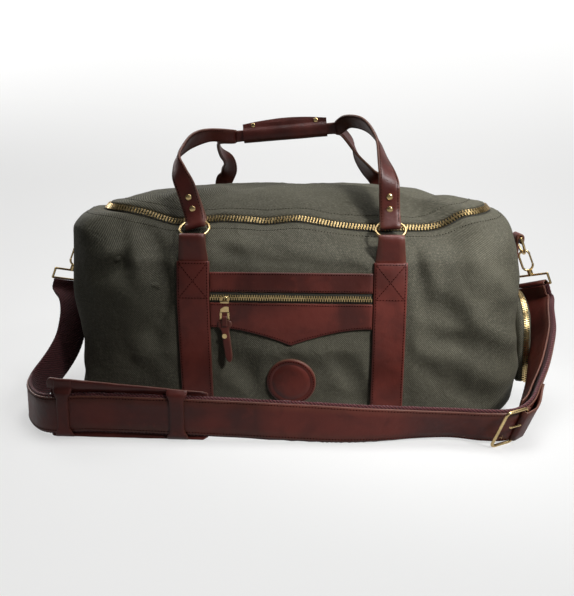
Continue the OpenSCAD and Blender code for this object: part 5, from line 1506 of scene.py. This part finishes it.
class FittingOperator(bpy.types.Operator):
    """Makes the end tabs, the end pocket and every slider, puller and ring"""
    bl_idname = "weekender.fittings"
    bl_label = "Ends, pulls and rings"

    # End tab from its foot up and over the ring: (x, height); and its width
    TAB = [(296.0, 150), (296.3, 165), (296.3, 190), (296.0, 206), (295.6, 213), (296.0, 218.5),
           (298.2, 221.4), (301.0, 221.0), (302.9, 218.4), (303.0, 214), (302.0, 209)]
    TAB_W, TAB_SEWN = 30.0, 12.5
    # End pocket: half width, height where its arch starts, the arch's rise, foot, and the wall it stands on
    ARCH_HALF, ARCH_SPRING, ARCH_RISE, ARCH_FOOT, ARCH_BASE = 62.0, 86.2, 55.8, 34.0, 294.0
    # How far its zip stands from that wall
    ZIP_X = 9.3
    # Its side from the wall out, with a groove for the zip: (x, growth); its face: (share of the arch, x)
    ARCH_SIDE = ((-1, 0), (3, 0.4), (6.5, 0.8), (7.0, -0.9), (11.2, -0.9), (11.7, 0.8), (14, 0.2), (15.5, -2),
                 (16.4, -6))
    ARCH_FACE = ((0.82, 17.0), (0.6, 17.6), (0.35, 18.0), (0.1, 18.1))
    # Pocket slider's body: (share of its outline, depth); and its half length and half width
    SLIDER = ((0.9, -132.6), (1.0, -133.6), (1.0, -135.4), (0.93, -136.4), (0.72, -137.2), (0.4, -137.6),
              (0.1, -137.7))
    SLIDER_HALF, SLIDER_WIDE = 7.4, 4.4
    # Puller: back face and thickness, and its bars as (middle from the pull's line, half width, low, high)
    PULLER_Y, PULLER_T = -138.4, 1.7
    PULLER = ((0, 5.6, 138.4, 153.6), (-4.3, 1.7, 152.4, 158.0), (-4.6, 1.6, 129.0, 139.6),
              (4.3, 1.7, 152.4, 158.0), (4.6, 1.6, 129.0, 139.6), (0, 5.0, 155.8, 158.2),
              (0, 5.6, 128.9, 131.3))
    # Leather pull: its tongue from the knot down as (x, height, width), and its loop as (depth, height)
    TONGUE_Y, LOOP_W = -139.4, 6.6
    TONGUE = [(0, 128.4, 9), (0, 127.4, 15), (0, 125.2, 17.4), (0, 121.8, 17.0), (0.2, 118.8, 13.4),
              (0.5, 116.6, 10.4), (0.9, 113, 9.6), (1.7, 105, 9.8), (3.0, 95, 9.6), (4.4, 84, 9.0),
              (5.2, 78.6, 6.4), (5.5, 76.2, 3.0)]
    LOOP = [(-141.6, 121), (-141.9, 127), (-141.8, 131), (-141.0, 132.9), (-139.4, 133.6), (-137.8, 132.8),
            (-137.1, 130.6), (-137.5, 126)]

    def execute(self, context):
        for sx, name in ((-1, "left"), (1, "right")):
            self.tab(sx, name)
        self.end_pocket(context.scene.weekender_metal.pocket_pitch / MM)
        self.pull_tab()
        self.pocket_slider()
        for node in ("end_rings", "pull_stud", "main_slider", "main_puller", "end_slider", "end_puller"):
            paint(node, "Brass")
        return {"FINISHED"}

    def tab(self, sx, name):
        path = curve_through(self.TAB, 5)
        line = np.column_stack([sx * path[:, 0], np.zeros(len(path)), path[:, 1]])
        form = Form()
        ribbon(form, line, (0, 1.0, 0), self.TAB_W, -1.5, 1.5, 0.7)
        form.show(f"{name}_tab_leather", "Leather", "bag", [f"{name}_end_tab"])
        x, y, low, high = sx * 298.0, self.TAB_SEWN, 152, 204
        lines = [(np.array(run), (sx, 0, 0)) for run in (
            [(x, -y, low), (x, -y, high)], [(x, y, low), (x, y, high)], [(x, -y, low), (x, y, low)])]
        stitches(f"{name}_tab_stitches", lines, "bag")

    def end_pocket(self, pitch):
        half, spring, foot, base = self.ARCH_HALF, self.ARCH_SPRING, self.ARCH_FOOT, self.ARCH_BASE
        a = np.radians(np.linspace(0, 180, 40))
        arch = np.concatenate([
            np.column_stack([np.full(10, half), np.linspace(foot, spring, 10, endpoint=False)]),
            np.column_stack([half * np.cos(a), spring + self.ARCH_RISE * np.sin(a)]),
            np.column_stack([np.full(10, -half), np.linspace(spring, foot, 11)[1:]]),
            np.column_stack([np.linspace(-half, half, 26)[1:-1], np.full(24, foot)])])
        centre = np.array([0.0, 84.0])
        way = np.roll(arch, -1, 0) - np.roll(arch, 1, 0)
        out = unit(np.column_stack([way[:, 1], -way[:, 0]]))
        loops = [(x, arch + out * grow) for x, grow in self.ARCH_SIDE]
        loops += [(x, centre + (arch - centre) * k) for k, x in self.ARCH_FACE]
        rows = np.array([np.column_stack([np.full(len(arch), base + x), loop]) for x, loop in loops])
        rows[..., 0] += 1.2 * field(rows, 34.0, 6.6, 2) * smoothstep(14, 16, rows[..., 0] - base)
        form = Form()
        form.tube(rows)
        form.show("end_pocket_canvas", "Waxed canvas", "bag", ["end_pocket"])
        arc, side = arch[1:60], out[1:60]
        lines = []
        for e, start in ((-1, 0.0), (1, pitch / 2)):
            x = np.full(len(arc), base + self.ZIP_X + e * TEETH_OFF)
            p = spaced(np.column_stack([x, arc + side * 1.2, np.zeros(len(arc)), side]), pitch, start)
            lines.append((p[:, :3], p[:, 3:6]))
        teeth("end_pocket_zip_row", lines, "bag", pitch, POCKET_TOOTH, ["end_pocket_zip"])

    def slab(self, form, middle, half, low, high):
        """Bar of the puller with rounded rims."""
        u, v = edge_places(8, 0.5, 2 * half), edge_places(8, 0.5, high - low)
        uu, vv = np.meshgrid(u, v)
        x, z = PULL_X + middle - half + uu * 2 * half, low + vv * (high - low)
        h, _ = rim_heights(u, v, 0.3, 1.0)
        back = np.full_like(x, self.PULLER_Y)
        form.plate(np.stack([x, back - self.PULLER_T * h, z], -1), np.stack([x, back, z], -1))

    def pocket_slider(self):
        """Slider with its bail, and the puller plate with the window that the leather tab hangs in."""
        turn = np.radians(np.arange(28) * 360 / 28)
        round_x = self.SLIDER_HALF * np.cos(turn)
        round_z = self.SLIDER_WIDE * np.sin(turn) * (1 + 0.12 * np.cos(turn))
        form = Form()
        form.tube(np.array([np.column_stack([PULL_X + k * round_x, np.full(28, y), POCKET_Z + k * round_z])
                            for k, y in self.SLIDER]))
        bail = np.column_stack([PULL_X - 0.5 + 5.4 * np.cos(turn), -137.0 + 3.2 * np.sin(turn),
                                np.full(28, POCKET_Z + 0.3)])
        wire(form, bail, np.array([0, 0, 1.0]), 1.2)
        form.show("pocket_slider_brass", "Brass", "pocket_slider", ["pocket_slider"])
        form = Form()
        for bar in self.PULLER:
            self.slab(form, *bar)
        form.show("pocket_puller_brass", "Brass", "pocket_puller", ["pocket_puller"])

    def pull_tab(self):
        """Leather tab: a loop through the puller's window, a wide knot and a tongue leaning to the right."""
        tongue, loop = curve_through(self.TONGUE, 5), curve_through(self.LOOP, 4)
        form = Form()
        line = np.column_stack([PULL_X + tongue[:, 0], np.full(len(tongue), self.TONGUE_Y), tongue[:, 1]])
        ribbon(form, line, (1.0, 0, 0), tongue[:, 2], -1.5, 1.5, 0.6)
        line = np.column_stack([np.full(len(loop), PULL_X), loop])
        ribbon(form, line, (1.0, 0, 0), self.LOOP_W, -0.8, 0.8, 0.4)
        form.show("pull_tab_leather", "Leather", "pull_tab", ["pull_tab"])


class WeekenderPanel(bpy.types.Panel):
    """Lists the bag's settings and the steps that make it"""
    bl_idname = "VIEW3D_PT_weekender"
    bl_label = "Weekender Bag"
    bl_space_type = "VIEW_3D"
    bl_region_type = "UI"
    bl_category = "Weekender"

    def draw(self, context):
        for group in ("cloth", "leather", "metal", "stage"):
            settings = getattr(context.scene, "weekender_" + group)
            for key in settings.__annotations__:
                self.layout.prop(settings, key)
        for step in STEPS:
            self.layout.operator(step.bl_idname)


GROUPS = {"cloth": ClothSettings, "leather": LeatherSettings, "metal": MetalSettings, "stage": StageSettings}
STEPS = (StageOperator, SlingOperator, BodyOperator, LidOperator, StrapOperator, HandleOperator,
         PocketOperator, FittingOperator)


def register():
    for cls in (*GROUPS.values(), *STEPS, WeekenderPanel):
        bpy.utils.register_class(cls)
    for name, cls in GROUPS.items():
        setattr(bpy.types.Scene, "weekender_" + name, PointerProperty(type=cls))


def unregister():
    for name in GROUPS:
        delattr(bpy.types.Scene, "weekender_" + name)
    for cls in reversed((*GROUPS.values(), *STEPS, WeekenderPanel)):
        bpy.utils.unregister_class(cls)


def main():
    register()
    for step in STEPS:
        group, name = step.bl_idname.split(".")
        getattr(getattr(bpy.ops, group), name)()


if __name__ == "__main__":
    main()
